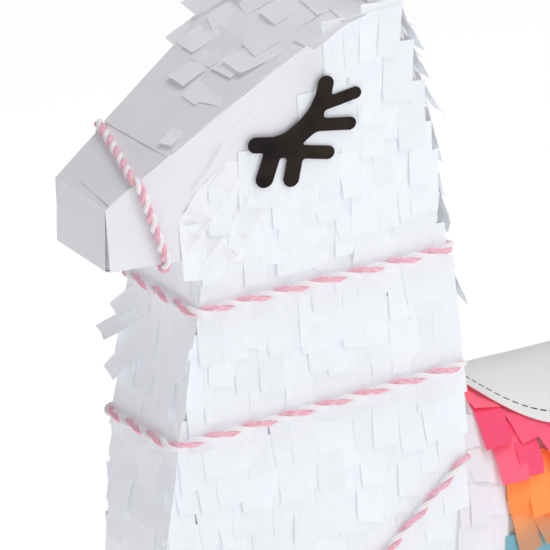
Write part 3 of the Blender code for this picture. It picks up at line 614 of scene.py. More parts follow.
def stripMesh(name, laid, look, body, replaced):
    base = oneStrip
    total = sum(len(spots) for spots, _ in laid)
    verts = np.concatenate([spots.reshape(-1, 3) for spots, _ in laid])
    verts[:, 0] += muzzleX
    verts *= 0.001
    size = len(base["verts"])
    corners = np.concatenate([np.array(f) for f in base["faces"]])
    counts = np.array([len(f) for f in base["faces"]])
    allCorners = (corners[None] + np.arange(total)[:, None] * size).ravel()
    allCounts = np.tile(counts, total)
    mesh = bpy.data.meshes.new(name)
    mesh.vertices.add(total * size)
    mesh.vertices.foreach_set("co", verts.ravel())
    mesh.loops.add(len(allCorners))
    mesh.loops.foreach_set("vertex_index", allCorners)
    mesh.polygons.add(len(allCounts))
    mesh.polygons.foreach_set("loop_start", np.concatenate([[0], np.cumsum(allCounts)[:-1]]))
    layer = mesh.uv_layers.new(name="UVMap")
    shift = rng.uniform(0, 40, (total, 1, 2))
    uv = base["uv"][None] * np.array([1.0, 2.6]) + shift
    layer.data.foreach_set("uv", uv.ravel())
    shade = mesh.attributes.new("shade", "FLOAT", "POINT")
    shade.data.foreach_set("value", np.repeat(np.concatenate([s for _, s in laid]), size))
    along = mesh.attributes.new("along", "FLOAT", "POINT")
    along.data.foreach_set("value", np.tile(base["verts"][:, 1], total))
    mesh.update()
    mesh.validate()
    mesh.materials.append(finishes[look])
    made = bpy.data.objects.new(name, mesh)
    bpy.context.collection.objects.link(made)
    pickOnly(made)
    bpy.ops.object.shade_smooth_by_angle(angle=radians(50))
    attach(made, body)
    if replaced:
        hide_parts(*replaced)


# each tissue dictionary: strip sizes in mm, lean and sway in degrees; rise is the tips' lift
neckTissue = {"across": 10.8, "long": 34.0, "lean": 4.0, "stagger": 3.0, "sway": 2.6,
              "wild": 0.02, "lift": 0.6, "rise": 1.1, "cup": 0.15, "crumple": 0.3}
cheekTissue = {"across": 10.0, "long": 32.0, "lean": 2.0, "stagger": 2.4, "sway": 4.0,
               "wild": 0.03, "lift": 1.2, "rise": 1.1, "cup": 0.2, "crumple": 0.5}
neckSides = {"pitch": 19.0, "start": 1.0, "foot": 8.0, "jawStep": 11.0, "overhang": 1.2,
             "rearOverhang": 2.0, "underLash": ((66, 132), (24, 84)), "lashLift": 2.3}
# the tissue starts along this line below the smooth cheek, as (z, x)
cheekLine = [(355, 26), (367, 33), (380, 42), (408, 66), (420, 84), (433, 103), (440, 108),
             (480, 108)]


def rowsDown(start, end, reach):
    # rows at slightly uneven steps; reach(depth) gives where a row starts and ends
    spans, depth = [], start
    while depth < end:
        spans.append((depth, *reach(depth)))
        depth += neckSides["pitch"] * rng.uniform(0.95, 1.05)
    return spans


def inJaw(depth):
    return card["crown"] - depth > card["chin"] - 1


def sideReach(depth):
    z = card["crown"] - depth
    rear = lineX(neckBack, z) + neckSides["rearOverhang"]
    if inJaw(depth):
        zs, xs = zip(*cheekLine)
        high = z - neckSides["jawStep"]
        if high > card["chin"] - 1:
            return float(np.interp(high, zs, xs)), rear
        return lineX(neckFront, high), rear
    return lineX(neckFront, z) - neckSides["overhang"], rear


def flatUnderLash(a, d, h):
    # the strips lie close where the eyelash decal is glued over them
    (x0, x1), (z0, z1) = neckSides["underLash"]
    z = card["crown"] - d - card["chin"]
    under = (a > x0) & (a < x1) & (z > z0) & (z < z1)
    return a, d, np.where(under, np.minimum(h, neckSides["lashLift"]), h)


def buildNeckSides():
    foot = card["crown"] - card["belly"] - neckSides["foot"]
    for side, word in ((-1, "left"), (1, "right")):
        spans = rowsDown(neckSides["start"], foot, sideReach)
        place = sideSurface(side)
        laid = []
        for inRow, spec in ((True, cheekTissue), (False, neckTissue)):
            strips = stripRows([s for s in spans if inJaw(s[0]) == inRow], spec)
            laid.append(layStrips(strips, place, neckPath, limit=flatUnderLash))
        stripMesh(f"neckSideTissue_{word}", laid, "whiteTissue", "shell",
                  [f"neck_fringe_{word}"])


frontTissue = {"across": 10.4, "long": 32.0, "lean": 0.0, "stagger": 0.8, "sway": 3.5,
               "wild": 0.05, "lift": 0.5, "rise": 1.3, "cup": 0.4, "crumple": 0.4}
backTissue = {"across": 9.6, "long": 27.0, "lean": 0.0, "stagger": 0.8, "sway": 4.0,
              "wild": 0.15, "lift": 2.0, "rise": 5.6, "cup": 0.5, "crumple": 0.5}
# loose strips at the throat: a, d, wide, long, tilt in degrees, lift, rise
flares = [(15.0, 31.0, 13.0, 25.0, 42.0, 1.8, 4.0), (16.0, 43.0, 12.0, 28.0, 48.0, 2.4, 6.0),
          (15.0, 58.0, 12.0, 26.0, 34.0, 2.0, 3.5), (12.0, 44.0, 12.0, 28.0, 14.0, 1.6, 2.5)]


def frontReach(depth):
    wide = halfWidth(lineX(neckFront, card["chin"] - depth))
    return -wide - 1.6, wide - 0.6


def backReach(depth):
    wide = halfWidth(150 + depth * 0.12)
    return -wide + 0.5, wide - 0.5


def looseStrips(strips, cups, crumples, skews, shades):
    full = []
    for strip, cup, crumple, skew, shade in zip(strips, cups, crumples, skews, shades):
        full.append((*strip[:4], radians(strip[4]), *strip[5:], cup, crumple, skew, shade))
    return np.array(full)


def buildNeckEdges():
    front = foldedSurface(neckFront, -1)
    strips = stripRows(rowsDown(-3.0, 218, frontReach), frontTissue)
    laid = [layStrips(strips, front, neckPath)]
    loose = looseStrips(flares, (0.5, 0.5, 0.4, 0.4), (0.5, 0.5, 0.5, 0.5),
                        (0.0, 1.0, 0.0, 0.0), (0.6, 0.4, 0.8, 0.3))
    laid.append(layStrips(loose, front))
    stripMesh("neckFrontTissue", laid, "whiteTissue", "shell", ["neck_front_fringe"])
    back = foldedSurface(neckBack, 1)
    strips = stripRows(rowsDown(1.0, 208, backReach), backTissue)
    laid = [layStrips(strips, back, neckPath)]
    stripMesh("neckBackTissue", laid, "whiteTissue", "shell", ["neck_back_fringe"])


crownTissue = {"across": 14.0, "long": 32.0, "lean": 0.0, "stagger": 0.8, "sway": 6.0,
               "wild": 0.05, "lift": 0.6, "rise": 1.3, "cup": 0.2, "crumple": 0.5}
# rows step down from the crown to the bridge of the nose, as (depth, left end, right end)
crownRows = [(-2.0, -43.0, 43.0), (17.0, -41.0, 43.0), (34.0, -37.0, 42.0),
             (50.0, -29.0, 38.0), (67.0, -23.0, 14.0)]
noseScrap = [(-18.0, 116.0, 9.5, 11.0, -22.0, 2.2, 1.6)]


def buildCrown():
    over = foldedSurface([(144, 477), (113, 472), (84, 454), (60, 438)], -1, smooth=7.0)
    laid = [layStrips(stripRows(crownRows, crownTissue), over)]
    laid.append(layStrips(looseStrips(noseScrap, (0.2,), (0.2,), (0.0,), (1.0,)), over))
    # the crown strips get the crownTissue finish, which paints the top of the head in shade
    stripMesh("crownTissue", laid, "crownTissue", "shell", ["crown_fringe", "forehead_fringe"])


labelSpot = {"x": 244.0, "radius": 39.5, "cut": 35.0, "fold": 24.0, "round": 0.6,
             "underLabel": 3.6}
barrelRows = 8
sideLength = card["radius"] * pi / 2 + card["arch"] - card["belly"]
rowPitch = sideLength / barrelRows


def keepOffHole(side):
    # tissue stops at the cut circle and lies flat under the label
    radius, cut = card["radius"], labelSpot["cut"] + labelSpot["round"]

    def limit(a, d, h):
        y = side * radius * np.sin(np.clip(d / radius, -pi / 2, pi / 2))
        x = a - labelSpot["x"]
        r = np.sqrt(x * x + y * y)
        onRound = d < radius * pi / 2
        under = (r < labelSpot["radius"] + 3.0) & onRound
        h = np.where(under, np.minimum(h, labelSpot["underLabel"]), h)
        inside = (r < cut) & onRound & (y < labelSpot["fold"] + labelSpot["round"])
        grow = cut / np.maximum(r, 1e-3)
        newY = np.clip(y * grow, -radius, radius)
        newD = np.arcsin(np.clip(newY * side / radius, -1, 1)) * radius
        return np.where(inside, labelSpot["x"] + x * grow, a), np.where(inside, newD, d), h
    return limit


def inHole(strips, side):
    tip = strips[:, 1] + strips[:, 3]
    y0 = side * card["radius"] * np.sin(np.clip(strips[:, 1] / card["radius"], -1.57, 1.57))
    y1 = side * card["radius"] * np.sin(np.clip(tip / card["radius"], -1.57, 1.57))
    x = strips[:, 0] - labelSpot["x"]
    low = np.hypot(x, y0) < labelSpot["cut"] - 1
    high = np.hypot(x, y1) < labelSpot["cut"] + 2
    return low & high & (y0 < labelSpot["fold"]) & (tip < card["radius"] * 1.5)


def bandRows(first, last, low, high):
    return [(max(0.0, n * rowPitch - 4.0), low, high) for n in range(first, last)]


barrelTissue = {"across": 9.8, "long": 26.0, "lean": 0.0, "stagger": 0.8, "sway": 5.0,
                "wild": 0.12, "lift": 0.8, "rise": 2.8, "cup": 0.6, "crumple": 0.9}
shoulderTissue = dict(barrelTissue, rise=1.2, wild=0.02, lift=0.6, crumple=0.4)
saddleTissue = {"across": 11.5, "long": 27.0, "lean": 0.0, "stagger": 0.8, "sway": 7.0,
                "wild": 0.1, "lift": 1.7, "rise": 3.6, "cup": 0.8, "crumple": 0.8}
# colour, first and last row, CAD piece, and how far its tips stand off
saddleBands = [("pink", 0, 3, "pink", 1.0), ("orange", 3, 4, "orange", 1.0),
               ("tan", 4, 5, "orange", 1.1), ("blue", 5, 8, "blue", 1.2)]


def buildBarrel():
    # the shoulder strips get the shoulderTissue finish, with its painted shade and painted pink
    # bounce light
    whites = (("shoulder", card["barrel0"] + 0.6, card["saddle0"] - 0.3, shoulderTissue,
               "shoulderTissue"),
              ("rump_side", card["saddle1"] + 0.3, card["barrel1"] - 0.3, barrelTissue,
               "whiteTissue"))
    for side, word in ((-1, "left"), (1, "right")):
        place = barrelSurface(side)
        for name, low, high, spec, look in whites:
            strips = stripRows(bandRows(0, barrelRows, low, high), spec)
            laid = [layStrips(strips, place, neckPath, limit=keepOffHole(side))]
            stripMesh(f"{name}Tissue_{word}", laid, look, "shell", [f"{name}_fringe_{word}"])
        for colour, first, last, node, swell in saddleBands:
            spec = dict(saddleTissue, rise=saddleTissue["rise"] * swell)
            rows = bandRows(first, last, card["saddle0"], card["saddle1"])
            strips = stripRows(rows, spec)
            strips = strips[~inHole(strips, side)]
            laid = [layStrips(strips, place, limit=keepOffHole(side))]
            stripMesh(f"{colour}Tissue_{word}", laid, f"{colour}Tissue", "shell",
                      [f"saddle_{node}_{word}"])


rump = {"rows": 6, "pitch": 19.3, "start": 3.0, "tailGap": 14.0, "tailDepth": 30.0}


def buildRump():
    edge, reach = card["barrel1"] + 0.3, 60.0
    place = uprightSurface((edge, -reach), (edge, reach), card["ridge"])
    spans = []
    for n in range(rump["rows"]):
        depth = rump["start"] + n * rump["pitch"]
        drop = min(depth + 6.0, card["radius"])
        wide = sqrt(card["radius"] ** 2 - (card["radius"] - drop) ** 2)
        if depth < rump["tailDepth"]:
            ends = ((-wide, -rump["tailGap"]), (rump["tailGap"], wide))  # round the tail
        else:
            ends = ((-wide, wide),)
        spans += [(depth, reach + low, reach + high) for low, high in ends]
    laid = [layStrips(stripRows(spans, backTissue), place)]
    stripMesh("rumpTissue", laid, "whiteTissue", "shell", ["rump_fringe"])


legTissue = {"across": 9.0, "long": 26.0, "lean": 0.0, "stagger": 0.8, "sway": 3.5,
             "wild": 0.08, "lift": 0.7, "rise": 2.2, "cup": 0.5, "crumple": 0.5}
legInnerTissue = dict(legTissue, rise=0.9, lift=0.5, wild=0.0, crumple=0.15, cup=0.1)
legs = {"rows": 7, "pitch": 18.5, "floorGap": 8.0, "frontInner": 3.0, "rearInner": 11.5}


def legPlan(side, end, x0, x1):
    # the four corners of a leg seen from above, inner first
    if end == "front":
        out0, out1, inner = halfWidth(x0), halfWidth(x1), legs["frontInner"]
    else:
        out0, out1, inner = card["radius"], card["radius"], legs["rearInner"]
    plan = [(x0, side * inner), (x0, side * out0), (x1, side * out1), (x1, side * inner)]
    return (plan[::-1] if side > 0 else plan), side * inner


def buildLegs():
    for side, word in ((-1, "left"), (1, "right")):
        for end in ("front", "rear"):
            low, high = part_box(f"leg_{end}_{word}")
            plan, inner = legPlan(side, end, low.x * 1000 - muzzleX, high.x * 1000 - muzzleX)
            laid = []
            for i, p in enumerate(plan):
                q = plan[(i + 1) % 4]
                place = uprightSurface(p, q, card["belly"] - 0.5)
                room = sqrt((q[0] - p[0]) ** 2 + (q[1] - p[1]) ** 2)
                inside = abs((p[1] + q[1]) / 2 - inner) < 1.0
                spans = [(n * legs["pitch"], 0.5, room - 0.5) for n in range(legs["rows"])]
                strips = stripRows(spans, legInnerTissue if inside else legTissue)
                longest = card["belly"] - legs["floorGap"] - strips[:, 1]
                strips[:, 3] = np.minimum(strips[:, 3], longest)
                laid.append(layStrips(strips, place))
            stripMesh(f"legTissue_{end}_{word}", laid, "whiteTissue", "shell",
                      [f"leg_fringe_{end}_{word}"])


earTissue = {"across": 7.5, "long": 20.0, "lean": 0.0, "stagger": 0.8, "sway": 5.0,
             "wild": 0.05, "lift": 0.6, "rise": 1.6, "cup": 0.3, "crumple": 0.3}
# the half-width of an ear against the share of its height
ears = {"lean": 8.0, "y": 25.0, "rows": (1.0, 12.0, 23.0, 34.0, 45.0), "overhang": 1.5,
        "share": (0.0, 0.12, 0.3, 0.5, 0.7, 0.85, 0.95, 1.0),
        "half": (7.7, 6.3, 11.2, 10.64, 8.4, 4.9, 2.1, 0.0)}


def buildEars():
    lean = radians(ears["lean"])
    for side, word in ((-1, "left"), (1, "right")):
        low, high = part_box(f"ear_{word}")
        backX = high.x * 1000 - muzzleX + 0.3
        tall = (high.z - low.z) * 1000
        rootZ, rootY = low.z * 1000 + 1.0, side * ears["y"]

        def place(a, d, h):
            up = tall - d
            y = a * cos(lean) + up * sin(lean)
            z = up * cos(lean) - a * sin(lean)
            return np.stack([backX + h, side * y + rootY, rootZ + z], -1)

        spans = []
        for depth in ears["rows"]:
            half = float(np.interp(1 - (depth + 10) / tall, ears["share"], ears["half"]))
            spans.append((depth, -half - ears["overhang"], half + ears["overhang"]))
        laid = [layStrips(stripRows(spans, earTissue), place)]
        stripMesh(f"earTissue_{word}", laid, "whiteTissue", "shell", [f"ear_fringe_{word}"])


tailTissue = dict(earTissue, across=7.0, long=19.0)
# the tail's outlines as steps back from the rump and down from its root
tail = {"upper": [(0, 0), (14.85, 11.0), (26.7, 44.0)],
        "lower": [(0, 17.0), (8.1, 18.5), (20.7, 44.0)], "half": 10.5, "tip": 46.0,
        "rows": (1.0, 12.0, 23.0, 32.0), "sideRows": (0.0, 11.0, 22.0), "side": 10.3,
        "sideHalf": 5.5, "sideTop": 3.0, "middle": ((0, 14, 46), (6, 12, 23.5))}


def buildTail():
    low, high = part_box("tail_tab")
    x0, top = low.x * 1000 - muzzleX, high.z * 1000
    laid = []
    for line, facing in ((tail["upper"], 1), (tail["lower"], -1)):
        place = foldedSurface([(x0 + x, top - z) for x, z in line], facing, smooth=4.0)
        strips = stripRows([(d, -tail["half"], tail["half"]) for d in tail["rows"]], tailTissue)
        strips[:, 3] = np.minimum(strips[:, 3], tail["tip"] - strips[:, 1])
        laid.append(layStrips(strips, place))
    for side in (-1, 1):
        def place(a, d, h):
            middle = x0 + np.interp(d, *tail["middle"])
            y = side * (tail["side"] + h)
            return np.stack([middle + a, y, top - tail["sideTop"] - d], -1)

        spans = [(d, -tail["sideHalf"], tail["sideHalf"]) for d in tail["sideRows"]]
        strips = stripRows(spans, tailTissue)
        laid.append(layStrips(strips, place))
    stripMesh("tailTissue", laid, "whiteTissue", "shell", ["tail_fringe"])


buildNeckSides()
buildNeckEdges()
buildCrown()
print("neck and head tissue laid")
buildBarrel()
buildRump()
buildLegs()
buildEars()
buildTail()
print("barrel, legs, ears and tail covered")


def thicken(thick, smooth):
    # give the active sheet its thickness in mm, and smooth its faces up to an angle in degrees
    wall = bpy.context.object.modifiers.new("wall", "SOLIDIFY")
    wall.thickness = thick * 0.001
    wall.offset = 0.0
    bpy.ops.object.modifier_apply(modifier="wall")
    bpy.ops.object.mode_set(mode="EDIT")
    bpy.ops.mesh.select_all(action="SELECT")
    bpy.ops.mesh.normals_make_consistent(inside=False)
    bpy.ops.object.mode_set(mode="OBJECT")
    bpy.ops.object.shade_smooth_by_angle(angle=radians(smooth))


paper = {"thick": 0.35, "wave": 0.22,
         "creases": [([(43, 402), (50, 410), (57, 421)], 1.1), ([(50, 402), (58, 410)], 0.8),
                     ([(26, 385), (31, 396)], 0.5), ([(62, 428), (74, 436)], 0.6)]}


def smoothWave(points, size, seed):
    # a slow, repeatable wobble for a flat sheet
    r = np.random.default_rng(seed)
    total = np.zeros(len(points))
    for _ in range(5):
        way = r.normal(0, 1, points.shape[1])
        way /= np.linalg.norm(way)
        total += np.sin(points @ way * r.uniform(0.08, 0.30) + r.uniform(0, 6.28))
    return total * size / 5


def runAlong(points, share):
    line = np.array(points, float)
    runs = np.concatenate([[0], np.cumsum(np.linalg.norm(np.diff(line, axis=0), axis=1))])
    return np.stack([np.interp(share * runs[-1], runs, line[:, i]) for i in (0, 1)], -1)


def strokeDistance(p, line):
    best = np.full(len(p), 1e9)
    for a, b in zip(line, line[1:]):
        a, b = np.array(a, float), np.array(b, float)
        t = np.clip(((p - a) @ (b - a)) / ((b - a) @ (b - a)), 0, 1)
        best = np.minimum(best, np.linalg.norm(p - a - t[:, None] * (b - a), axis=1))
    return best


def paperSheet(name, edge, farEdge, spot, lift, look="whitePaper", seed=1, cuts=14):
    # a sheet between two lines of (u, v) points; spot(u, v, lift) gives the place
    clearSelection()
    bpy.ops.mesh.primitive_plane_add(size=2.0, location=(0, 0, 0))
    sheet = bpy.context.object
    sheet.name = name
    bpy.ops.object.mode_set(mode="EDIT")
    bpy.ops.mesh.subdivide(number_cuts=cuts)
    bpy.ops.object.mode_set(mode="OBJECT")
    flat = np.array([v.co for v in sheet.data.vertices])[:, :2] * 0.5 + 0.5
    s, t = flat[:, 0], flat[:, 1:2]
    uv = runAlong(edge, s) * (1 - t) + runAlong(farEdge, s) * t
    wobble = smoothWave(uv, paper["wave"], seed)
    places = spot(uv[:, 0], uv[:, 1], lift + np.maximum(wobble, -0.2))
    places[:, 0] += muzzleX
    sheet.data.vertices.foreach_set("co", (places * 0.001).ravel())
    sheet.data.update()
    thicken(paper["thick"], 40)
    sheet.data.materials.append(finishes[look])
    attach(sheet, "shell")
    return sheet


def onSide(side):
    out = unit(np.array([-card["splay"], side, 0.0]))

    def spot(x, z, h):
        base = np.stack([x, side * (card["muzzle"] + card["splay"] * x), z], -1)
        return base + out * np.asarray(h).reshape(-1, 1)
    return spot


def onNose(x, y, h):
    base = np.stack([x, y, noseLine[0][1] + noseRise * x], -1)
    return base + noseUp * np.asarray(h).reshape(-1, 1)


def onMuzzle(y, z, h):
    return np.stack([-np.asarray(h) + 0 * y, y, z], -1)


wrap = {"gap": 0.5, "step": 0.5, "brim": 1.45, "seam": 30.2, "end": 87.0, "chinEnd": 44.0,
        "cheekEnd": 112.0}


def buildMuzzle():
    first = wrap["gap"] + paper["thick"] / 2
    end, far, step = wrap["end"], wrap["cheekEnd"], wrap["step"]
    chin, top = card["chin"], noseLine[0][1]
    wide = card["muzzle"]

    def brim(x):
        return halfWidth(x) + wrap["brim"]

    def under(x, y, h):
        return np.stack([x, y, chin - np.asarray(h)], -1)

    sheets = [
        paperSheet("muzzleFrontPaper", [(-wide + 0.5, chin - 0.6), (wide + 0.8, chin - 0.6)],
                   [(-wide + 0.5, top + 0.4), (wide + 0.8, top + 0.4)], onMuzzle, first, seed=3),
        paperSheet("bridgePaperUnder", [(-1.0, -wide - 0.6), (end, -brim(end))],
                   [(-1.0, wide + 0.6), (end, brim(end))], onNose, first, seed=5, cuts=18),
        paperSheet("bridgePaperMiddle", [(1.0, -brim(1.0)), (32, -brim(32))],
                   [(3.0, 5.0), (29.0, 24.5)], onNose, first + step, seed=7),
        paperSheet("bridgePaperOver", [(wrap["seam"], -brim(30)), (end, -brim(end))],
                   [(wrap["seam"] - 1.6, brim(28.6)), (end, brim(end))], onNose,
                   first + 2 * step, seed=9, cuts=18),
        paperSheet("chinPaper", [(-0.5, -wide - 0.3), (wrap["chinEnd"], -wide - 6.4)],
                   [(-0.5, wide + 0.3), (wrap["chinEnd"], wide + 6.4)], under, first, seed=11),
    ]
    for sheet in sheets:
        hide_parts("muzzle_wrap")
    for side, word in ((-1, "left"), (1, "right")):
        def creased(x, z, h):
            p = np.stack([x, z], -1)
            ridge = sum(high * np.exp(-(strokeDistance(p, line) / 1.3) ** 2)
                        for line, high in paper["creases"])
            return onSide(side)(x, z, h + ridge)

        cheek = paperSheet(f"cheekPaper_{word}",
                           [(0.9, chin - 0.9), (40, chin - 0.9), (far, chin + 58)],
                           [(-1.3, top - 0.1), (52, noseZ(52) + 1.3), (84, noseZ(84) + 1.3),
                            (far, chin + 104.5)], creased, first + 0.4, seed=13 + side,
                           cuts=70)
        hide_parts("muzzle_wrap", f"cheek_paper_{word}")


jaw = {"top": [(35, 386), (44, 400), (58, 412), (72, 412), (84, 400)],
       "bottom": [(40, 362), (50, 353), (62, 349), (74, 352), (86, 362)],
       "centre": (58.0, 378.0), "reach": (23.0, 27.0), "lift": 1.35, "puff": 1.8, "fold": 6.5}


def buildJaw():
    # a rumpled sheet of tissue over the join between smooth paper and cut strips
    r = np.random.default_rng(8)
    for side, word in ((-1, "left"), (1, "right")):
        ways = [(r.uniform(0, pi), r.uniform(0.10, 0.26), r.uniform(0, 6.28)) for _ in range(5)]

        def crumpled(x, z, h):
            total = np.zeros(len(x))
            for way, often, start in ways:
                run = (x * cos(way) + z * sin(way)) * often
                total += (1 - np.abs(np.sin(run + start + 0.6 * np.sin(run * 0.7)))) ** 2
            off = np.hypot((x - jaw["centre"][0]) / jaw["reach"][0],
                           (z - jaw["centre"][1]) / jaw["reach"][1])
            inner = np.clip((1.15 - off) * 1.6, 0, 1)
            fold = jaw["puff"] + jaw["fold"] * (total / len(ways) - 0.4)
            return onSide(side)(x, z, h + inner * fold)

        sheet = paperSheet(f"jawTissue_{word}", jaw["bottom"], jaw["top"], crumpled, jaw["lift"],
                           look="jawTissue", seed=17, cuts=44)
        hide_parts(f"neck_fringe_{word}")


buildMuzzle()
buildJaw()
print("muzzle and cheeks papered")

lash = {"thick": 0.5, "lift": 3.4, "lidWide": 3.9, "blend": 1.8, "sheet": (70.0, 60.0),
        "middle": (101.0, 52.0), "cells": (76, 66)}
# strokes as (x, height above the chin)
lid = [(72.8, 52.0), (81.7, 50.8), (90.5, 52.0), (97.8, 57.2), (103.3, 64.6), (106.6, 71.5),
       (107.9, 77.3)]
# each lash: root, tip, half its width; the last one thickens the lid
lashes = [[(109.0, 67.6), (122.6, 70.4), 3.0], [(103.5, 57.4), (119.8, 55.6), 3.2],
          [(87.0, 46.8), (109.0, 42.6), 3.3], [(93.0, 45.3), (90.6, 32.2), 3.9],
          [(81.5, 47.2), (77.2, 34.4), 4.4], [(88.0, 49.6), (101.8, 59.6), 5.0]]


def lashField(p):
    # below zero inside the decal; the strokes melt into each other where they meet
    parts = [strokeDistance(p, lid) - lash["lidWide"]]
    parts += [strokeDistance(p, (root, tip)) - wide for root, tip, wide in lashes]
    k = lash["blend"]
    field = parts[0]
    for part in parts[1:]:
        mixShare = np.clip(0.5 + 0.5 * (part - field) / k, 0, 1)
        field = part * (1 - mixShare) + field * mixShare - k * mixShare * (1 - mixShare)
    return field


def edgeVerts(mesh, outside):
    # points shared by a kept face and a dropped one
    kept, dropped = np.zeros(len(mesh.vertices), bool), np.zeros(len(mesh.vertices), bool)
    for face, off in zip(mesh.polygons, outside):
        (dropped if off else kept)[list(face.vertices)] = True
    return kept & dropped


def buildLashes():
    for side, word in ((-1, "left"), (1, "right")):
        clearSelection()
        bpy.ops.mesh.primitive_grid_add(x_subdivisions=lash["cells"][0],
                                        y_subdivisions=lash["cells"][1], size=1.0,
                                        calc_uvs=True, location=(0, 0, 0))
        decal = bpy.context.object
        decal.name = f"lashDecal_{word}"
        p = np.array([v.co for v in decal.data.vertices])[:, :2] * np.array(lash["sheet"])
        p += np.array(lash["middle"])
        middle = np.array([p[list(f.vertices)].mean(0) for f in decal.data.polygons])
        outside = lashField(middle) > 0
        gridSpots = p.copy()
        rim = edgeVerts(decal.data, outside)
        for _ in range(4):  # pull the stepped edge onto the true outline
            edge = np.abs(lashField(p)) < 1.2
            step = 0.05
            gx = (lashField(p + [step, 0]) - lashField(p - [step, 0])) / (2 * step)
            gy = (lashField(p + [0, step]) - lashField(p - [0, step])) / (2 * step)
            slope = np.stack([gx, gy], -1)
            move = slope * (lashField(p) / np.maximum((slope ** 2).sum(1), 0.2))[:, None]
            p = np.where((edge & rim)[:, None], p - move, p)
        spots = onSide(side)(p[:, 0], card["chin"] + p[:, 1],
                             lash["lift"] + smoothWave(gridSpots, 0.25, 21))
        spots[:, 0] += muzzleX
        decal.data.vertices.foreach_set("co", (spots * 0.001).ravel())
        bpy.ops.object.mode_set(mode="EDIT")
        bpy.ops.mesh.select_mode(type="FACE")
        bpy.ops.object.mode_set(mode="OBJECT")
        for face, off in zip(decal.data.polygons, outside):
            face.select = bool(off)
        bpy.ops.object.mode_set(mode="EDIT")
        bpy.ops.mesh.delete(type="FACE")
        bpy.ops.mesh.select_all(action="SELECT")
        bpy.ops.mesh.normals_make_consistent(inside=False)
        bpy.ops.object.mode_set(mode="OBJECT")
        thicken(lash["thick"], 40)
        decal.data.materials.append(finishes["glossBlack"])
        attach(decal, "shell")
        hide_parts(f"lash_decal_{word}")


buildLashes()
print("eyelashes cut")

label = {"off": 5.1, "thick": 0.45, "rings": 9, "round": 96, "cutGap": 0.12, "wave": 0.12}
flapTissue = {"inset": 2.8, "off": 2.4, "thick": 2.6, "wave": 0.5}


def onArch(x, y, off):
    return np.stack([x, y, card["arch"] + np.sqrt((card["radius"] + off) ** 2 - y * y)], -1)


def labelDisc(name, radius, off, thick, keep, look, body, node):
    clearSelection()
    bpy.ops.mesh.primitive_circle_add(vertices=label["round"], radius=radius * 0.001,
                                      fill_type="NGON", location=(0, 0, 0))
    disc = bpy.context.object
    disc.name = name
    bpy.ops.object.mode_set(mode="EDIT")
    bpy.ops.mesh.select_mode(type="FACE")
    bpy.ops.mesh.select_all(action="SELECT")
    cutRing = (radius - labelSpot["cut"]) * 0.001
    if cutRing > 0.001:
        bpy.ops.mesh.inset(thickness=cutRing / 2)
        bpy.ops.mesh.inset(thickness=cutRing / 2)
    inner = min(radius, labelSpot["cut"])
    for _ in range(label["rings"]):
        bpy.ops.mesh.inset(thickness=inner * 0.001 / (label["rings"] + 1.5))
    bpy.ops.mesh.poke()
    bpy.ops.mesh.select_all(action="SELECT")
    bpy.ops.mesh.bisect(plane_co=(0, labelSpot["fold"] * 0.001, 0), plane_no=(0, 1, 0))
    bpy.ops.mesh.select_all(action="DESELECT")
    bpy.ops.object.mode_set(mode="OBJECT")
    for face in disc.data.polygons:
        x, y = face.center.x * 1000, face.center.y * 1000
        inside = sqrt(x * x + y * y) < labelSpot["cut"] - 0.02 and y < labelSpot["fold"]
        face.select = inside != (keep == "flap")
    bpy.ops.object.mode_set(mode="EDIT")
    bpy.ops.mesh.delete(type="FACE")
    bpy.ops.object.mode_set(mode="OBJECT")
    p = np.array([v.co for v in disc.data.vertices]) * 1000
    if keep == "flap":
        r = np.hypot(p[:, 0], p[:, 1])
        shrink = np.where(r > labelSpot["cut"] - 0.3, (labelSpot["cut"] - label["cutGap"]) / r, 1.0)
        p[:, :2] *= shrink[:, None]
        p[:, 1] = np.minimum(p[:, 1], labelSpot["fold"] - label["cutGap"])
    spots = onArch(labelSpot["x"] + p[:, 0], p[:, 1], off + smoothWave(p[:, :2], label["wave"], 31))
    spots[:, 0] += muzzleX
    disc.data.vertices.foreach_set("co", (spots * 0.001).ravel())
    disc.data.update()
    thicken(thick, 35)
    disc.data.materials.append(finishes[look])
    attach(disc, body)
    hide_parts(node)
    return disc


labelDisc("labelRim", labelSpot["radius"], label["off"], label["thick"], "rim", "labelPaper",
          "shell", "label_rim")
labelDisc("labelFlap", labelSpot["radius"], label["off"], label["thick"], "flap", "labelPaper",
          "flap", "label_flap")


def buildFlapTissue():
    # a crinkled sheet of the saddle's tissue, glued to the underside of the label
    sheet = labelDisc("flapTissue", labelSpot["cut"] - flapTissue["inset"], flapTissue["off"],
                      flapTissue["thick"], "flap", "pinkTissue", "flap", "flap_tissue")
    p = np.array([v.co for v in sheet.data.vertices]) * 1000
    p[:, 2] += smoothWave(p * 4.0, flapTissue["wave"], 41)
    sheet.data.vertices.foreach_set("co", (p * 0.001).ravel())
    for key in ("shade", "along"):
        layer = sheet.data.attributes.new(key, "FLOAT", "POINT")
        layer.data.foreach_set("value", np.full(len(p), 0.5))


buildFlapTissue()
print("label and flap made")


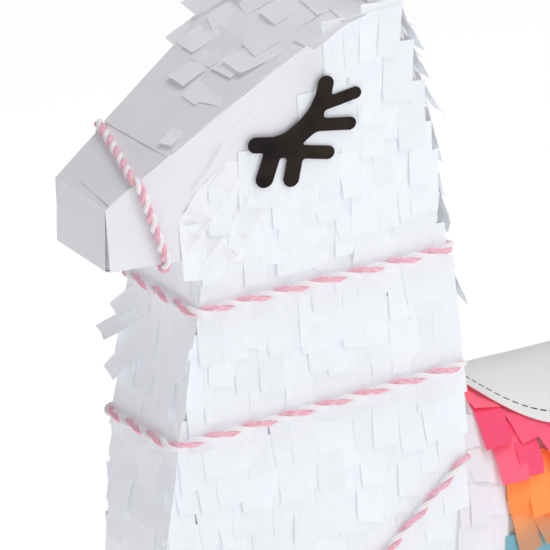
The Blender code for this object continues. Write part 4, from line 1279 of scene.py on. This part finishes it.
def twistStrands(path, closed, strands, name, replaced):
    count = len(path)
    ahead = np.roll(path, -1, axis=0) - np.roll(path, 1, axis=0)
    if not closed:
        ahead[0], ahead[-1] = path[1] - path[0], path[-1] - path[-2]
    ahead = unit(ahead)
    side = unit(np.cross(ahead[0], [0.1, 0.2, 1.0]))
    sides = []
    for t in ahead:
        side = unit(side - t * np.dot(side, t))
        sides.append(side)
    sides = np.array(sides)
    ups = np.cross(ahead, sides)
    gaps = np.linalg.norm(np.diff(path, axis=0), axis=1)
    s = np.concatenate([[0], np.cumsum(gaps)])
    total = s[-1] + (np.linalg.norm(path[0] - path[-1]) if closed else 0)
    turns = round(total / (twine["bridleTurn"] if closed else twine["turn"]))
    for number, look in enumerate(strands):
        angle = s / total * turns * 2 * pi + number * pi
        points = path + twine["apart"] * (sides * np.cos(angle)[:, None]
                                          + ups * np.sin(angle)[:, None])
        curve = bpy.data.curves.new(f"{name}{look}", "CURVE")
        curve.dimensions = "3D"
        curve.bevel_depth = twine["strand"] * 0.001
        curve.bevel_resolution = 2
        curve.use_fill_caps = not closed
        spline = curve.splines.new("POLY")
        spline.points.add(count - 1)
        points[:, 0] += muzzleX
        for target, point in zip(spline.points, points * 0.001):
            target.co = (*point, 1.0)
        spline.use_cyclic_u = closed
        strand = bpy.data.objects.new(f"{name}_{look}", curve)
        bpy.context.collection.objects.link(strand)
        pickOnly(strand)
        bpy.ops.object.convert(target="MESH")
        strand = bpy.context.object
        layer = strand.data.uv_layers.active or strand.data.uv_layers.new(name="UVMap")
        layer.name = "UVMap"
        uv = np.zeros(len(strand.data.loops) * 2)
        layer.data.foreach_get("uv", uv)
        uv = uv.reshape(-1, 2) * np.array([total / 6.0, 1.0])
        layer.data.foreach_set("uv", uv.ravel())
        strand.data.materials.clear()
        strand.data.materials.append(finishes[look])
        bpy.ops.object.shade_smooth()
        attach(strand, "shell")
        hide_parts(replaced)


twistStrands(neckPath, False, ("pinkYarn", "whiteYarn"), "neckTwine", "neck_twine")
twistStrands(bridlePath, True, ("pinkYarn", "whiteYarn"), "bridleTwine", "bridle_twine")
print("twine wound")

for node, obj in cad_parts.items():
    obj.data.materials.clear()
    obj.data.materials.append(finishes["whiteCard"])
